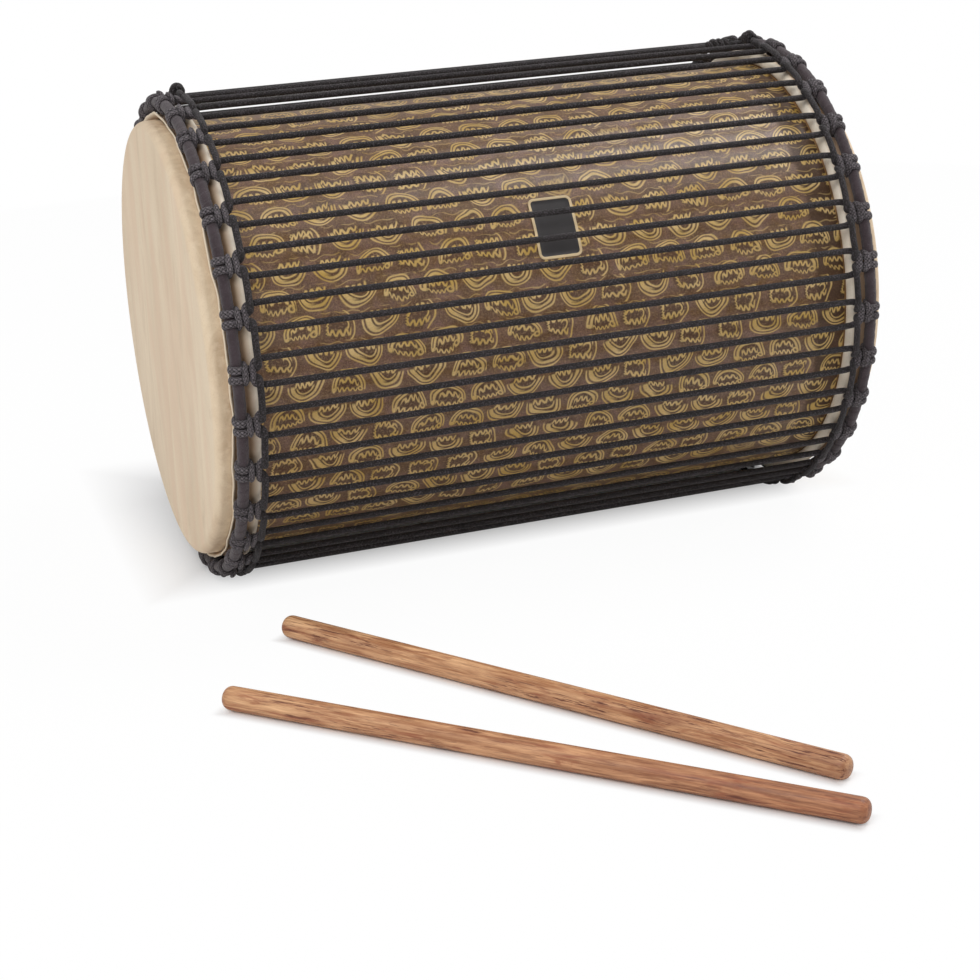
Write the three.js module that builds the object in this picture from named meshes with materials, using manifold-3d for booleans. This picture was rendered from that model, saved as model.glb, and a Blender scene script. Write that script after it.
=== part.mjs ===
// A rope-tuned dunun drum lying on its side, with its pair of sticks on the floor in front of it.
//
// Millimetres, +Z up. The drum's axis runs along X and the player is on the -Y side. A height in
// the drum's own group is measured from that axis, and the group is lifted at the end, so that
// the lowest rope knots stand on the floor at Z = 0.

import * as THREE from "three";
import { mergeVertices } from "three/addons/utils/BufferGeometryUtils.js";
import Module from "manifold-3d";

// Fits
const SEAT_GAP = 0.3;

// Shell and its printed cover
const DRUM_LENGTH = 560;
const SHELL_RADIUS = 175;
const SHELL_WALL = 9;
const EDGE_ROUND = 5.1;
const EDGE_LAND = 1.5;
const EDGE_BEVEL_DEPTH = 4.5;
const COVER_THICKNESS = 0.5;
const COVER_MARGIN = 1.5;
const TURN_FACETS = 30;
const EDGE_STEPS = 2;

// Heads and the hoops that their edges are lapped round
const SKIN_THICKNESS = 1.2;
const FLESH_HOOP_ROD = 6;
const LAP_LENGTH = 12.6;
const LAP_FLARE = 1.6;
const LAP_FLARE_LENGTH = 4;
const HOOP_SIDES = 6;

// Crown hoops, bound in cloth: CROWN_STEP is how far a crown hoop's circle lies outside the circle
// of the flesh hoop that it pulls on
const CROWN_STEP = 10.2;
const CROWN_SETBACK = 18;
const CROWN_ROD = 5.4;
const CROWN_BOUND = 9.4;
const BINDING_SEAM = 0.6;
const BINDING_SIDES = 7;

// Rope
const ROPE = 5;
const KNOTS = 30;
const KNOT_PHASE_DEGREES = -1;
const CRADLE_SIDES = 4;
const TENSION_SIDES = 4;
const ROPE_CORNER_SHARE = 1.08;
const FLOOR_CUT_SHARE = 0.1;

// Knots that join the ends of each rope, at the top of the drum. The tension rope's one lies at the
// right end, and TENSION_TIE_CLEARANCE is how far it stops short of the cradle rope's one
const TENSION_TIE_LENGTH = 26;
const TENSION_TIE = 12;
const TENSION_TIE_CLEARANCE = 1.8;
const CRADLE_TIE_LENGTH = 13;
const CRADLE_TIE = 12;
const TIE_WRAPS = 3;
const TIE_GROOVE_SHARE = 0.84;
const TIE_SIDES = 8;
const TIE_KNOT = 29;

// Blank plate on the cover
const PLATE_LENGTH = 36;
const PLATE_HEIGHT = 50;
const PLATE_THICKNESS = 0.6;
const PLATE_ALONG = 6;
const PLATE_TURN_DEGREES = 58;

// Sticks: the place of each one's middle follows the drum's length and the crown hoop's radius
const STICK_LENGTH = 478;
const STICK = 18.5;
const STICK_SIDES = 12;
const STICK_TIP_STEPS = 3;
const STICKS = [
  { name: "stick_1", alongShare: -0.166, forwardShare: 1.9, turnDegrees: -53 },
  { name: "stick_2", alongShare: -0.245, forwardShare: 2.32, turnDegrees: -44 },
];

// Half of one knot of the cradle rope, in rope diameters: along the crown hoop from the knot's
// middle, inboard of the hoop and out from it. It starts on the bar that lies across the knot,
// goes under the hoop and round it, dives under the tension rope and ends over it.
const CRADLE_HALF_KNOT = [
  [1.2, 2.04, 1.72],
  [1.74, 1.5, 0.72],
  [1.7, 1.58, -0.42],
  [1.62, 0.48, -1.86],
  [1.36, -1.62, -0.94],
  [0.92, -1.38, 1.26],
  [0.55, 0.8, 1.7],
  [0.58, 1.92, -0.4],
  [0.64, 3.28, -0.74],
  [0.62, 3.94, 0.8],
  [1.72, 3.64, 1.78],
];

// Half of the tension rope's turn round one knot, in the same units
const TENSION_HALF_TURN = [
  [1.38, 2.64, 0.52],
];
const TENSION_TURN_END = 3.5;

// Sizes that follow
const headX = DRUM_LENGTH / 2;
const crownX = headX - CROWN_SETBACK;
const shellX = headX - SKIN_THICKNESS - SEAT_GAP;
const ropeRadius = ROPE / 2;
const boundRadius = CROWN_BOUND / 2;
const skinInner = SHELL_RADIUS + SEAT_GAP;
const skinMiddle = skinInner + SKIN_THICKNESS / 2;
const lapMiddle = skinMiddle + SKIN_THICKNESS + SEAT_GAP;
const fleshRadius = skinInner + SKIN_THICKNESS + SEAT_GAP + FLESH_HOOP_ROD / 2;
const rollRadius = FLESH_HOOP_ROD / 2 + SEAT_GAP + SKIN_THICKNESS / 2;
const bulgeRadius = rollRadius + SKIN_THICKNESS / 2;
const crownRadius = fleshRadius + CROWN_STEP;
const hoopSpacing = boundRadius + bulgeRadius + ROPE + 3 * SEAT_GAP;
const fleshSetback = Math.sqrt(hoopSpacing ** 2 - CROWN_STEP ** 2);
const fleshX = crownX - fleshSetback;
const coverX = fleshX - bulgeRadius - COVER_MARGIN;
const knotStep = (2 * Math.PI) / KNOTS;
const knotPhase = THREE.MathUtils.degToRad(KNOT_PHASE_DEGREES);
// The shell's corners lie half way between the knots of the two ends
const shellPhase = knotPhase + knotStep / 4;
const plateTurn = THREE.MathUtils.degToRad(PLATE_TURN_DEGREES);

// Finishes
const finish = (color, roughness, metalness = 0) =>
  new THREE.MeshStandardMaterial({ color, roughness, metalness });
const wood = finish(0x8a6a48, 0.7);
const print = finish(0x6b5438, 0.5);
const skin = finish(0xdcc7a6, 0.65);
const steel = finish(0x8d9094, 0.4, 1);
const cloth = finish(0x2f2833, 0.95);
const rope = finish(0x46434a, 0.9);
const plate = finish(0x241f1c, 0.45);
const beech = finish(0xb07448, 0.55);

const drum = new THREE.Group();
const left = { side: "left", sign: -1, phase: knotPhase };
const right = { side: "right", sign: 1, phase: knotPhase + knotStep / 2 };

function addPiece(parent, name, geometry, material) {
  const mesh = new THREE.Mesh(geometry, material);
  mesh.name = name;
  parent.add(mesh);
  return mesh;
}

// Turned pieces: the outline is a list of [radius, place along the drum's axis], anticlockwise
function turned(outline, facets, phase = 0) {
  const area = outline.reduce((sum, [r, x], i) => {
    const [nextR, nextX] = outline[(i + 1) % outline.length];
    return sum + r * nextX - nextR * x;
  }, 0);
  const ordered = area > 0 ? outline : [...outline].reverse();
  const points = ordered.map(([r, x]) => new THREE.Vector2(r, x));
  points.push(points[0].clone());
  const geometry = new THREE.LatheGeometry(points, facets, phase);
  return geometry.rotateZ(-Math.PI / 2);
}

// An outline is drawn for the right end, and mirrored for the left one
const mirrored = (outline, sign) => outline.map(([r, x]) => [r, sign * x]);

function circlePoints(centreR, centreX, radius, sides, start = 0) {
  return Array.from({ length: sides }, (_, i) => {
    const angle = start + (i * 2 * Math.PI) / sides;
    return [centreR + radius * Math.cos(angle), centreX + radius * Math.sin(angle)];
  });
}

// A strip of even thickness along a path of [radius, place] points, as a closed outline. The
// strip is widened at a bend so that it keeps its thickness, by a factor of 1 / LEAST_LEAN at most
const LEAST_LEAN = 0.5;

function strip(path, thickness) {
  const sides = [[], []];
  path.forEach(([r, x], i) => {
    const before = path[Math.max(i - 1, 0)];
    const after = path[Math.min(i + 1, path.length - 1)];
    const here = new THREE.Vector2(r, x);
    const arriving = here.clone().sub(new THREE.Vector2(...before)).normalize();
    const leaving = new THREE.Vector2(...after).sub(here).normalize();
    const heading = arriving.clone().add(leaving).normalize();
    const lean = Math.max(arriving.length() ? heading.dot(arriving) : heading.dot(leaving), LEAST_LEAN);
    const reach = thickness / 2 / lean;
    sides[0].push([r - heading.y * reach, x + heading.x * reach]);
    sides[1].unshift([r + heading.y * reach, x - heading.x * reach]);
  });
  return [...sides[0], ...sides[1]];
}

// Points on the quarter circle where the skin or the shell turns from the face to the side
function edgeArc(radius) {
  const centreR = SHELL_RADIUS - EDGE_ROUND;
  const centreX = shellX - EDGE_ROUND;
  return Array.from({ length: EDGE_STEPS + 1 }, (_, i) => {
    const angle = (Math.PI / 2) * (1 - i / EDGE_STEPS);
    return [centreR + radius * Math.cos(angle), centreX + radius * Math.sin(angle)];
  });
}

// Shell: a wooden tube with a rounded outer edge and a bevelled inner one at each end
function shellOutline() {
  const bore = SHELL_RADIUS - SHELL_WALL;
  const landR = SHELL_RADIUS - EDGE_ROUND - EDGE_LAND;
  const end = [[bore, shellX - EDGE_BEVEL_DEPTH], [landR, shellX], ...edgeArc(EDGE_ROUND)];
  return [...end, ...mirrored([...end].reverse(), -1)];
}

function coverOutline() {
  const inner = SHELL_RADIUS + SEAT_GAP;
  const outer = inner + COVER_THICKNESS;
  return [[inner, -coverX], [outer, -coverX], [outer, coverX], [inner, coverX]];
}

// Head skin: the face, the side, once round the flesh hoop and back under the crown hoop
function skinOutline() {
  const rollStart = Math.PI;
  const rollTurn = (2 * Math.PI) / HOOP_SIDES;
  const roll = Array.from({ length: HOOP_SIDES }, (_, i) => {
    const angle = rollStart + i * rollTurn;
    return [fleshRadius + rollRadius * Math.cos(angle), fleshX + rollRadius * Math.sin(angle)];
  });
  const lapStart = fleshX + rollRadius;
  const lapEnd = fleshX + LAP_LENGTH;
  const path = [
    [0, headX - SKIN_THICKNESS / 2],
    ...edgeArc(EDGE_ROUND + SEAT_GAP + SKIN_THICKNESS / 2),
    ...roll,
    [lapMiddle, lapStart],
    [lapMiddle, lapEnd],
    [lapMiddle + LAP_FLARE, lapEnd + LAP_FLARE_LENGTH],
  ];
  return strip(path, SKIN_THICKNESS);
}

// Cloth binding: a tube round the crown hoop, with its seam on the side that faces the shell
function bindingOutline() {
  const inner = CROWN_ROD / 2 + SEAT_GAP;
  const seamAngle = Math.PI;
  const arc = (radius, sides) => {
    const slit = BINDING_SEAM / 2 / radius;
    return Array.from({ length: sides + 1 }, (_, i) => {
      const angle = seamAngle + slit + (i * (2 * Math.PI - 2 * slit)) / sides;
      return [crownRadius + radius * Math.cos(angle), crownX + radius * Math.sin(angle)];
    });
  };
  return [...arc(boundRadius, BINDING_SIDES), ...arc(inner, HOOP_SIDES).reverse()];
}

// A route with its own points: the tube has one ring at each of them
class Route extends THREE.Curve {
  constructor(points) {
    super();
    this.points = points;
  }

  at(t) {
    return Math.round(t * (this.points.length - 1));
  }

  getPointAt(t, target = new THREE.Vector3()) {
    return target.copy(this.points[this.at(t)]);
  }

  getTangentAt(t, target = new THREE.Vector3()) {
    const i = this.at(t);
    const here = this.points[i];
    const before = this.points[Math.max(i - 1, 0)];
    const after = this.points[Math.min(i + 1, this.points.length - 1)];
    const arriving = here.clone().sub(before).normalize();
    const leaving = after.clone().sub(here).normalize();
    return target.copy(arriving).add(leaving).normalize();
  }
}

function regularShape(sides, radius) {
  const points = circlePoints(0, 0, radius, sides, Math.PI / sides);
  return new THREE.Shape(points.map(([x, y]) => new THREE.Vector2(x, y)));
}

function ropeTube(points, sides) {
  const extrudePath = new Route(points);
  const steps = points.length - 1;
  const section = regularShape(sides, ropeRadius * ROPE_CORNER_SHARE);
  return new THREE.ExtrudeGeometry(section, { extrudePath, steps });
}

// A place beside a crown hoop: an angle from the top towards the player, inboard and out
function besideCrown(end, angle, inboard, out) {
  const radius = crownRadius + out;
  const x = end.sign * (crownX - inboard);
  return new THREE.Vector3(x, -radius * Math.sin(angle), radius * Math.cos(angle));
}

const knotAngle = (end, index) => end.phase + index * knotStep;

function knotPoints(end, index, half) {
  const place = (direction) => ([along, inboard, out]) => {
    const angle = knotAngle(end, index) + (direction * along * ROPE) / crownRadius;
    return besideCrown(end, angle, inboard * ROPE, out * ROPE);
  };
  return [...[...half].reverse().map(place(-1)), ...half.map(place(1))];
}

// Cradle rope: a cow hitch round the crown hoop at each knot, and a run from knot to knot
const [, runInboard, runOut] = CRADLE_HALF_KNOT[CRADLE_HALF_KNOT.length - 1];
const runX = crownX - runInboard * ROPE;

function cradlePoints(end) {
  const tieAngle = knotAngle(end, TIE_KNOT) + knotStep / 2;
  const reach = (CRADLE_TIE_LENGTH / 2 + SEAT_GAP) / (crownRadius + runOut * ROPE);
  const nearTie = (offset) => besideCrown(end, tieAngle + offset, runInboard * ROPE, runOut * ROPE);
  const points = [nearTie(reach)];
  for (let i = 1; i <= KNOTS; i += 1) {
    points.push(...knotPoints(end, TIE_KNOT + i, CRADLE_HALF_KNOT));
  }
  points.push(nearTie(-reach));
  return points;
}

function cradleTiePlace(end) {
  const angle = knotAngle(end, TIE_KNOT) + knotStep / 2;
  return { angle, centre: besideCrown(end, angle, runInboard * ROPE, runOut * ROPE) };
}

// Tension rope: up and down the drum, with a turn round every knot of both cradle ropes
const tensionOut = TENSION_HALF_TURN[0][2] * ROPE;
const tensionTieAngle = knotAngle(left, TIE_KNOT + 1) - knotStep / 4;
const tensionTieX = runX - CRADLE_TIE / 2 - TENSION_TIE_CLEARANCE - TENSION_TIE_LENGTH / 2;

function tensionTurn(end, index) {
  const turnEnd = (direction) =>
    besideCrown(end, knotAngle(end, index) + (direction * knotStep) / 4, TENSION_TURN_END * ROPE, tensionOut);
  return [turnEnd(-1), ...knotPoints(end, index, TENSION_HALF_TURN), turnEnd(1)];
}

function tensionPoints() {
  const radius = crownRadius + tensionOut;
  const y = -radius * Math.sin(tensionTieAngle);
  const z = radius * Math.cos(tensionTieAngle);
  const reach = TENSION_TIE_LENGTH / 2 + SEAT_GAP;
  const points = [new THREE.Vector3(tensionTieX - reach, y, z)];
  for (let i = 1; i <= KNOTS; i += 1) {
    points.push(...tensionTurn(left, TIE_KNOT + i));
    points.push(...tensionTurn(right, TIE_KNOT + i));
  }
  points.push(new THREE.Vector3(tensionTieX + reach, y, z));
  return points;
}

// A barrel knot along Y: a closed spindle with a groove between its wraps
function tieGeometry(length, diameter) {
  const outline = [[0, -length / 2]];
  const wrap = length / TIE_WRAPS;
  for (let i = 0; i < TIE_WRAPS; i += 1) {
    const start = -length / 2 + i * wrap;
    const groove = (diameter / 2) * TIE_GROOVE_SHARE;
    outline.push([groove, start], [diameter / 2, start + wrap / 2]);
  }
  outline.push([(diameter / 2) * TIE_GROOVE_SHARE, length / 2], [0, length / 2]);
  const points = outline.map(([r, y]) => new THREE.Vector2(r, y));
  return new THREE.LatheGeometry(points, TIE_SIDES);
}

// Blank plate: a curved rectangle that follows the cover
function plateGeometry() {
  const inner = SHELL_RADIUS + 2 * SEAT_GAP + COVER_THICKNESS;
  const outer = inner + PLATE_THICKNESS;
  const half = PLATE_HEIGHT / 2 / inner;
  const facet = (2 * Math.PI) / TURN_FACETS;
  const inFacets = (angle) => (angle - shellPhase) / facet;
  const angles = [plateTurn - half];
  for (let i = Math.ceil(inFacets(angles[0])); i < inFacets(plateTurn + half); i += 1) {
    angles.push(shellPhase + i * facet);
  }
  angles.push(plateTurn + half);
  const facetRadius = (radius, angle) => {
    const fromMiddle = (inFacets(angle) % 1) - 0.5;
    return (radius * Math.cos(facet / 2)) / Math.cos(fromMiddle * facet);
  };
  const place = (radius) => (angle) => {
    const r = facetRadius(radius, angle);
    return new THREE.Vector2(-r * Math.cos(angle), -r * Math.sin(angle));
  };
  const shape = new THREE.Shape([...angles.map(place(inner)), ...angles.reverse().map(place(outer))]);
  const geometry = new THREE.ExtrudeGeometry(shape, { depth: PLATE_LENGTH, bevelEnabled: false });
  geometry.translate(0, 0, -PLATE_LENGTH / 2);
  geometry.rotateY(Math.PI / 2);
  return geometry.translate(PLATE_ALONG, 0, 0);
}

// Stick: a round rod along X with round ends, standing on one of its flats
function stickGeometry() {
  const radius = STICK / 2;
  const bodyEnd = STICK_LENGTH / 2 - radius;
  const tip = Array.from({ length: STICK_TIP_STEPS }, (_, i) => {
    const angle = (i * Math.PI) / 2 / STICK_TIP_STEPS;
    return [radius * Math.cos(angle), bodyEnd + radius * Math.sin(angle)];
  });
  const half = [...tip, [0, STICK_LENGTH / 2]];
  const points = [...mirrored([...half].reverse(), -1), ...half].map(([r, x]) => new THREE.Vector2(r, x));
  const geometry = new THREE.LatheGeometry(points, STICK_SIDES, Math.PI / STICK_SIDES);
  return geometry.rotateZ(-Math.PI / 2);
}

// Booleans
const wasm = await Module();
wasm.setup();

function toManifold(geometry) {
  const bare = geometry.clone();
  bare.deleteAttribute("normal");
  bare.deleteAttribute("uv");
  const merged = mergeVertices(bare);
  return new wasm.Manifold(new wasm.Mesh({
    numProp: 3,
    vertProperties: merged.attributes.position.array,
    triVerts: merged.index.array,
  }));
}

function toGeometry(manifold) {
  const mesh = manifold.getMesh();
  const geometry = new THREE.BufferGeometry();
  geometry.setAttribute("position", new THREE.BufferAttribute(mesh.vertProperties, 3));
  geometry.setIndex(new THREE.BufferAttribute(mesh.triVerts, 1));
  geometry.computeVertexNormals();
  return geometry;
}

function cutFlat(geometry, height) {
  const size = DRUM_LENGTH * 2;
  const block = new THREE.BoxGeometry(size, size, size).translate(0, 0, height - size / 2);
  return toGeometry(toManifold(geometry).subtract(toManifold(block)));
}

function lowest(geometry) {
  geometry.computeBoundingBox();
  return geometry.boundingBox.min.z;
}

// The least gap of a rope to itself and to another rope, measured along their middle lines.
// A segment's next neighbours on the same rope are left out
const GAP_SAMPLES = [0, 0.25, 0.5, 0.75, 1];
const NEXT_SEGMENTS = 3;

function segmentGap(a, b, c, d) {
  const along = new THREE.Line3(c, d);
  const samples = GAP_SAMPLES.map((t) => a.clone().lerp(b, t));
  const nearest = new THREE.Vector3();
  return Math.min(...samples.map((p) => along.closestPointToPoint(p, true, nearest).distanceTo(p))) - ROPE;
}

function leastGap(first, second) {
  let least = Infinity;
  for (let i = 0; i + 1 < first.length; i += 1) {
    for (let j = first === second ? i + NEXT_SEGMENTS : 0; j + 1 < second.length; j += 1) {
      least = Math.min(least, segmentGap(first[i], first[i + 1], second[j], second[j + 1]));
    }
  }
  return least;
}

// The drum
addPiece(drum, "shell", turned(shellOutline(), TURN_FACETS, shellPhase), wood);
addPiece(drum, "shell_cover", turned(coverOutline(), TURN_FACETS, shellPhase), print);
addPiece(drum, "blank_plate", plateGeometry(), plate);

const tension = tensionPoints();
const cradles = new Map([left, right].map((end) => [end, cradlePoints(end)]));
const cradleTubes = [left, right].map((end) => ropeTube(cradles.get(end), CRADLE_SIDES));
const lowestKnot = Math.min(...cradleTubes.map(lowest));
const axisHeight = -(lowestKnot + ROPE * FLOOR_CUT_SHARE);

[left, right].forEach((end, i) => {
  const { side, sign, phase } = end;
  const fleshHoop = circlePoints(fleshRadius, fleshX, FLESH_HOOP_ROD / 2, HOOP_SIDES);
  const crownHoop = circlePoints(crownRadius, crownX, CROWN_ROD / 2, HOOP_SIDES);
  addPiece(drum, `${side}_skin`, turned(mirrored(skinOutline(), sign), TURN_FACETS, shellPhase), skin);
  addPiece(drum, `${side}_flesh_hoop`, turned(mirrored(fleshHoop, sign), TURN_FACETS, shellPhase), steel);
  addPiece(drum, `${side}_crown_hoop`, turned(mirrored(crownHoop, sign), TURN_FACETS, phase), steel);
  addPiece(drum, `${side}_crown_binding`, turned(mirrored(bindingOutline(), sign), TURN_FACETS, phase), cloth);
  addPiece(drum, `${side}_cradle_rope`, cutFlat(cradleTubes[i], -axisHeight), rope);

  const { angle, centre } = cradleTiePlace(end);
  const tie = addPiece(drum, `${side}_cradle_tie`, tieGeometry(CRADLE_TIE_LENGTH, CRADLE_TIE), rope);
  tie.position.copy(centre);
  tie.rotation.x = angle;
});

addPiece(drum, "tension_rope", ropeTube(tension, TENSION_SIDES), rope);
const tensionTie = addPiece(drum, "tension_tie", tieGeometry(TENSION_TIE_LENGTH, TENSION_TIE), rope);
const tensionRadius = crownRadius + tensionOut;
tensionTie.position.set(
  tensionTieX,
  -tensionRadius * Math.sin(tensionTieAngle),
  tensionRadius * Math.cos(tensionTieAngle),
);
tensionTie.rotation.z = -Math.PI / 2;

cradles.forEach((points, end) => {
  console.log(`${end.side} cradle rope, least gap to itself: ${leastGap(points, points).toFixed(2)} mm`);
  console.log(`${end.side} cradle rope to tension rope: ${leastGap(points, tension).toFixed(2)} mm`);
});
console.log(`tension rope, least gap to itself: ${leastGap(tension, tension).toFixed(2)} mm`);

// The set: the drum and its sticks stand on the floor, and the origin is under the set's middle
drum.position.z = axisHeight;
const set = new THREE.Group();
set.add(drum);
STICKS.forEach(({ name, alongShare, forwardShare, turnDegrees }) => {
  const stick = addPiece(set, name, stickGeometry(), beech);
  const height = (STICK / 2) * Math.cos(Math.PI / STICK_SIDES);
  stick.position.set(alongShare * DRUM_LENGTH, -forwardShare * crownRadius, height);
  stick.rotation.z = THREE.MathUtils.degToRad(turnDegrees);
});
set.updateMatrixWorld(true);
const middle = new THREE.Box3().setFromObject(set, true).getCenter(new THREE.Vector3());
set.position.set(-middle.x, -middle.y, 0);
set.updateMatrixWorld(true);

export default set;
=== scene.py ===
# %% [markdown]
# A rope-tuned dunun drum lies on its side, and its two sticks lie on the floor in front of it. The
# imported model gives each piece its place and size, in metres, with +X along the drum's axis, the
# player on the -Y side and +Z up. This script keeps the hidden wood and steel of that model, and
# builds over it what a person sees: hide, cloth, braided rope, printed cover and oiled sticks.

import math

import bpy
import numpy as np
from mathutils import Matrix, Vector


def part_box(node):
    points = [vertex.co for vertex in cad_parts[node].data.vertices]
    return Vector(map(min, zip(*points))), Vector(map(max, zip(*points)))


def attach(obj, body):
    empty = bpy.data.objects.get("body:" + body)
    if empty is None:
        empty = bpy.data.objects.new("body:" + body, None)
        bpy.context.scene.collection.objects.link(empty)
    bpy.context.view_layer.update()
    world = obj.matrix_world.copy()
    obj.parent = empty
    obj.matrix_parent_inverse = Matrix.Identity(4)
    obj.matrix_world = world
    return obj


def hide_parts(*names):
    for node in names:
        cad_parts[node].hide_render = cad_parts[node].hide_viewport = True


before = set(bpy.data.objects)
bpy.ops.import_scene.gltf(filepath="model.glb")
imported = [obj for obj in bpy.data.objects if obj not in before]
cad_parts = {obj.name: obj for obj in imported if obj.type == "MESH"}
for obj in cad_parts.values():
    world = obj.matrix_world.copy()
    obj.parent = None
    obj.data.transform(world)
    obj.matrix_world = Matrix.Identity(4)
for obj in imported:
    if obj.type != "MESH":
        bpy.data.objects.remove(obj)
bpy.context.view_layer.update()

# %% [markdown]
# The camera comes first. A long lens from the player's side, a little above and to the left, sees
# one head at a grazing angle and the whole side of the drum. The numbers are the yaw, the pitch and
# the slight roll of a handheld view, with its distance from the middle of the drum.

# %% Camera
MM = 0.001
shell_low, shell_high = (Vector(corner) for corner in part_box("shell"))
DRUM_CENTRE = (shell_low + shell_high) / 2

CAMERA_PLACE = Vector((-0.5627, -1.6388, 0.4811))
CAMERA_YAW = -0.3276
CAMERA_PITCH = -0.3624
CAMERA_ROLL = -0.0412
CAMERA_LENS = 76.96
CAMERA_SENSOR = 36.0

camera_data = bpy.data.cameras.new("camera")
camera_data.lens = CAMERA_LENS
camera_data.sensor_width = CAMERA_SENSOR
camera = bpy.data.objects.new("camera", camera_data)
camera.matrix_world = (
    Matrix.Translation(DRUM_CENTRE + CAMERA_PLACE)
    @ Matrix.Rotation(CAMERA_YAW, 4, "Z")
    @ Matrix.Rotation(math.pi / 2 + CAMERA_PITCH, 4, "X")
    @ Matrix.Rotation(CAMERA_ROLL, 4, "Z")
)
bpy.context.scene.collection.objects.link(camera)
bpy.context.scene.camera = camera
bpy.context.scene.view_settings.view_transform = "Standard"
print("drum centre", [round(v, 4) for v in DRUM_CENTRE])
print("camera at", [round(v, 3) for v in camera.location])

# %% [markdown]
# Material graphs get long when every sum is a node placed by hand. A small wrapper lets node maths
# read like a formula: each operator adds one Math node and hands back its output. Base colours are
# written as the eye names them, from 0 to 255, and turned into the linear light that shaders use.

# %% Node maths helper
class Field:
    """A value that changes over the surface. Sums of fields build Math nodes."""

    def __init__(self, tree, output):
        self.tree = tree
        self.output = output

    def math(self, operation, *others, clamp=False):
        node = self.tree.nodes.new("ShaderNodeMath")
        node.operation = operation
        node.use_clamp = clamp
        for socket, value in zip(node.inputs, (self, *others)):
            feed(self.tree, value, socket)
        return Field(self.tree, node.outputs[0])

    def __add__(self, other):
        return self.math("ADD", other)

    def __sub__(self, other):
        return self.math("SUBTRACT", other)

    def __mul__(self, other):
        return self.math("MULTIPLY", other)

    def __truediv__(self, other):
        return self.math("DIVIDE", other)

    def length(self, other):
        """The long side of a right triangle that has these two fields as its short sides."""
        return (self * self + other * other).math("SQRT")

    def either(self, *others):
        """The largest of some masks."""
        joined = self
        for other in others:
            joined = joined.math("MAXIMUM", other)
        return joined

    def band(self, half_width, softness=0.012):
        """1 where the field is within half_width of zero, falling to 0 outside."""
        away = self.math("ABSOLUTE") - half_width
        return away.below(0.0, softness)

    def below(self, level, softness=0.012):
        """1 under a level and 0 over it, with a soft step between."""
        return self.ramp(level + softness, level - softness)

    def above(self, level, softness=0.012):
        """1 over a level and 0 under it, with a soft step between."""
        return self.ramp(level - softness, level + softness)

    def ramp(self, start, end, low=0.0, high=1.0):
        """Goes from low to high while the field goes from start to end."""
        node = self.tree.nodes.new("ShaderNodeMapRange")
        feed(self.tree, self, node.inputs["Value"])
        feed(self.tree, start, node.inputs["From Min"])
        feed(self.tree, end, node.inputs["From Max"])
        feed(self.tree, low, node.inputs["To Min"])
        feed(self.tree, high, node.inputs["To Max"])
        return Field(self.tree, node.outputs["Result"])


def feed(tree, value, socket):
    """Puts a number, a colour, a field or a plain output into a socket."""
    if isinstance(value, Field):
        tree.links.new(value.output, socket)
    elif isinstance(value, bpy.types.NodeSocket):
        tree.links.new(value, socket)
    else:
        socket.default_value = value


def linear(red, green, blue):
    """A colour written from 0 to 255, as linear light with full opacity."""
    shares = (channel / 255 for channel in (red, green, blue))
    return tuple(s / 12.92 if s <= 0.04045 else ((s + 0.055) / 1.055) ** 2.4 for s in shares) + (1.0,)


print("cream as linear light", [round(v, 3) for v in linear(216, 196, 168)])

# %% [markdown]
# The same few steps come back in every finish: add a node, spread a noise, mix two colours, lay one
# coat over another. Each step is a small function, so that a material reads as a list of what its
# surface has. The shader itself stays in the material, where its settings can be seen.

# %% Node helpers for textures, mixes and materials
def add_node(tree, kind, **settings):
    """Adds a node. A setting that names an input feeds it, and any other sets a property."""
    node = tree.nodes.new(kind)
    for name, value in settings.items():
        label = name.replace("_", " ").title()
        if label in node.inputs:
            feed(tree, value, node.inputs[label])
        else:
            setattr(node, name, value)
    return node


def noise(tree, vector, scale, detail=4.0, roughness=0.55, distortion=0.0):
    """Soft clouds from 0 to 1. A larger scale makes them smaller, and detail adds finer ones."""
    node = add_node(
        tree, "ShaderNodeTexNoise", vector=vector, scale=scale, detail=detail,
        roughness=roughness, distortion=distortion,
    )
    return Field(tree, node.outputs["Fac"])


def mix_colour(tree, factor, first, second):
    """The first colour where the factor is 0, and the second where it is 1."""
    node = tree.nodes.new("ShaderNodeMix")
    node.data_type = "RGBA"
    feed(tree, factor, node.inputs[0])
    feed(tree, first, node.inputs[6])
    feed(tree, second, node.inputs[7])
    return node.outputs[2]


def coats(tree, base, *layers):
    """Lays colours over a base in turn. Each layer is a share, 0 to 1, and a colour."""
    for share, colour in layers:
        base = mix_colour(tree, share, base, colour)
    return base


def vector_of(tree, x, y, z=0.0):
    node = tree.nodes.new("ShaderNodeCombineXYZ")
    for socket, value in zip(node.inputs, (x, y, z)):
        feed(tree, value, socket)
    return node.outputs[0]


def split(tree, vector):
    node = tree.nodes.new("ShaderNodeSeparateXYZ")
    tree.links.new(vector, node.inputs[0])
    return [Field(tree, output) for output in node.outputs]


def scaled(tree, vector, factors):
    """A place with each axis stretched. A small factor makes a pattern long on that axis."""
    node = tree.nodes.new("ShaderNodeVectorMath")
    node.operation = "MULTIPLY"
    feed(tree, vector, node.inputs[0])
    feed(tree, factors, node.inputs[1])
    return node.outputs[0]


def object_place(tree):
    """Where each point is in its own piece's frame, in metres."""
    return tree.nodes.new("ShaderNodeTexCoord").outputs["Object"]


def new_material(name, roughness, **settings):
    """A material with a Principled BSDF, its tree and its shader."""
    material = bpy.data.materials.new(name)
    material.use_nodes = True
    tree = material.node_tree
    shader = tree.nodes["Principled BSDF"]
    shader.inputs["Roughness"].default_value = roughness
    for label, value in settings.items():
        shader.inputs[label.replace("_", " ")].default_value = value
    return material, tree, shader


def bump(tree, shader, height, distance, strength=1.0):
    """Lets a height, 0 to 1, stand out by a distance in the way a finish takes the light."""
    node = add_node(tree, "ShaderNodeBump", height=height, distance=distance, strength=strength)
    tree.links.new(node.outputs["Normal"], shader.inputs["Normal"])


print("node helpers ready, one millimetre is", MM, "m")

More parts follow.
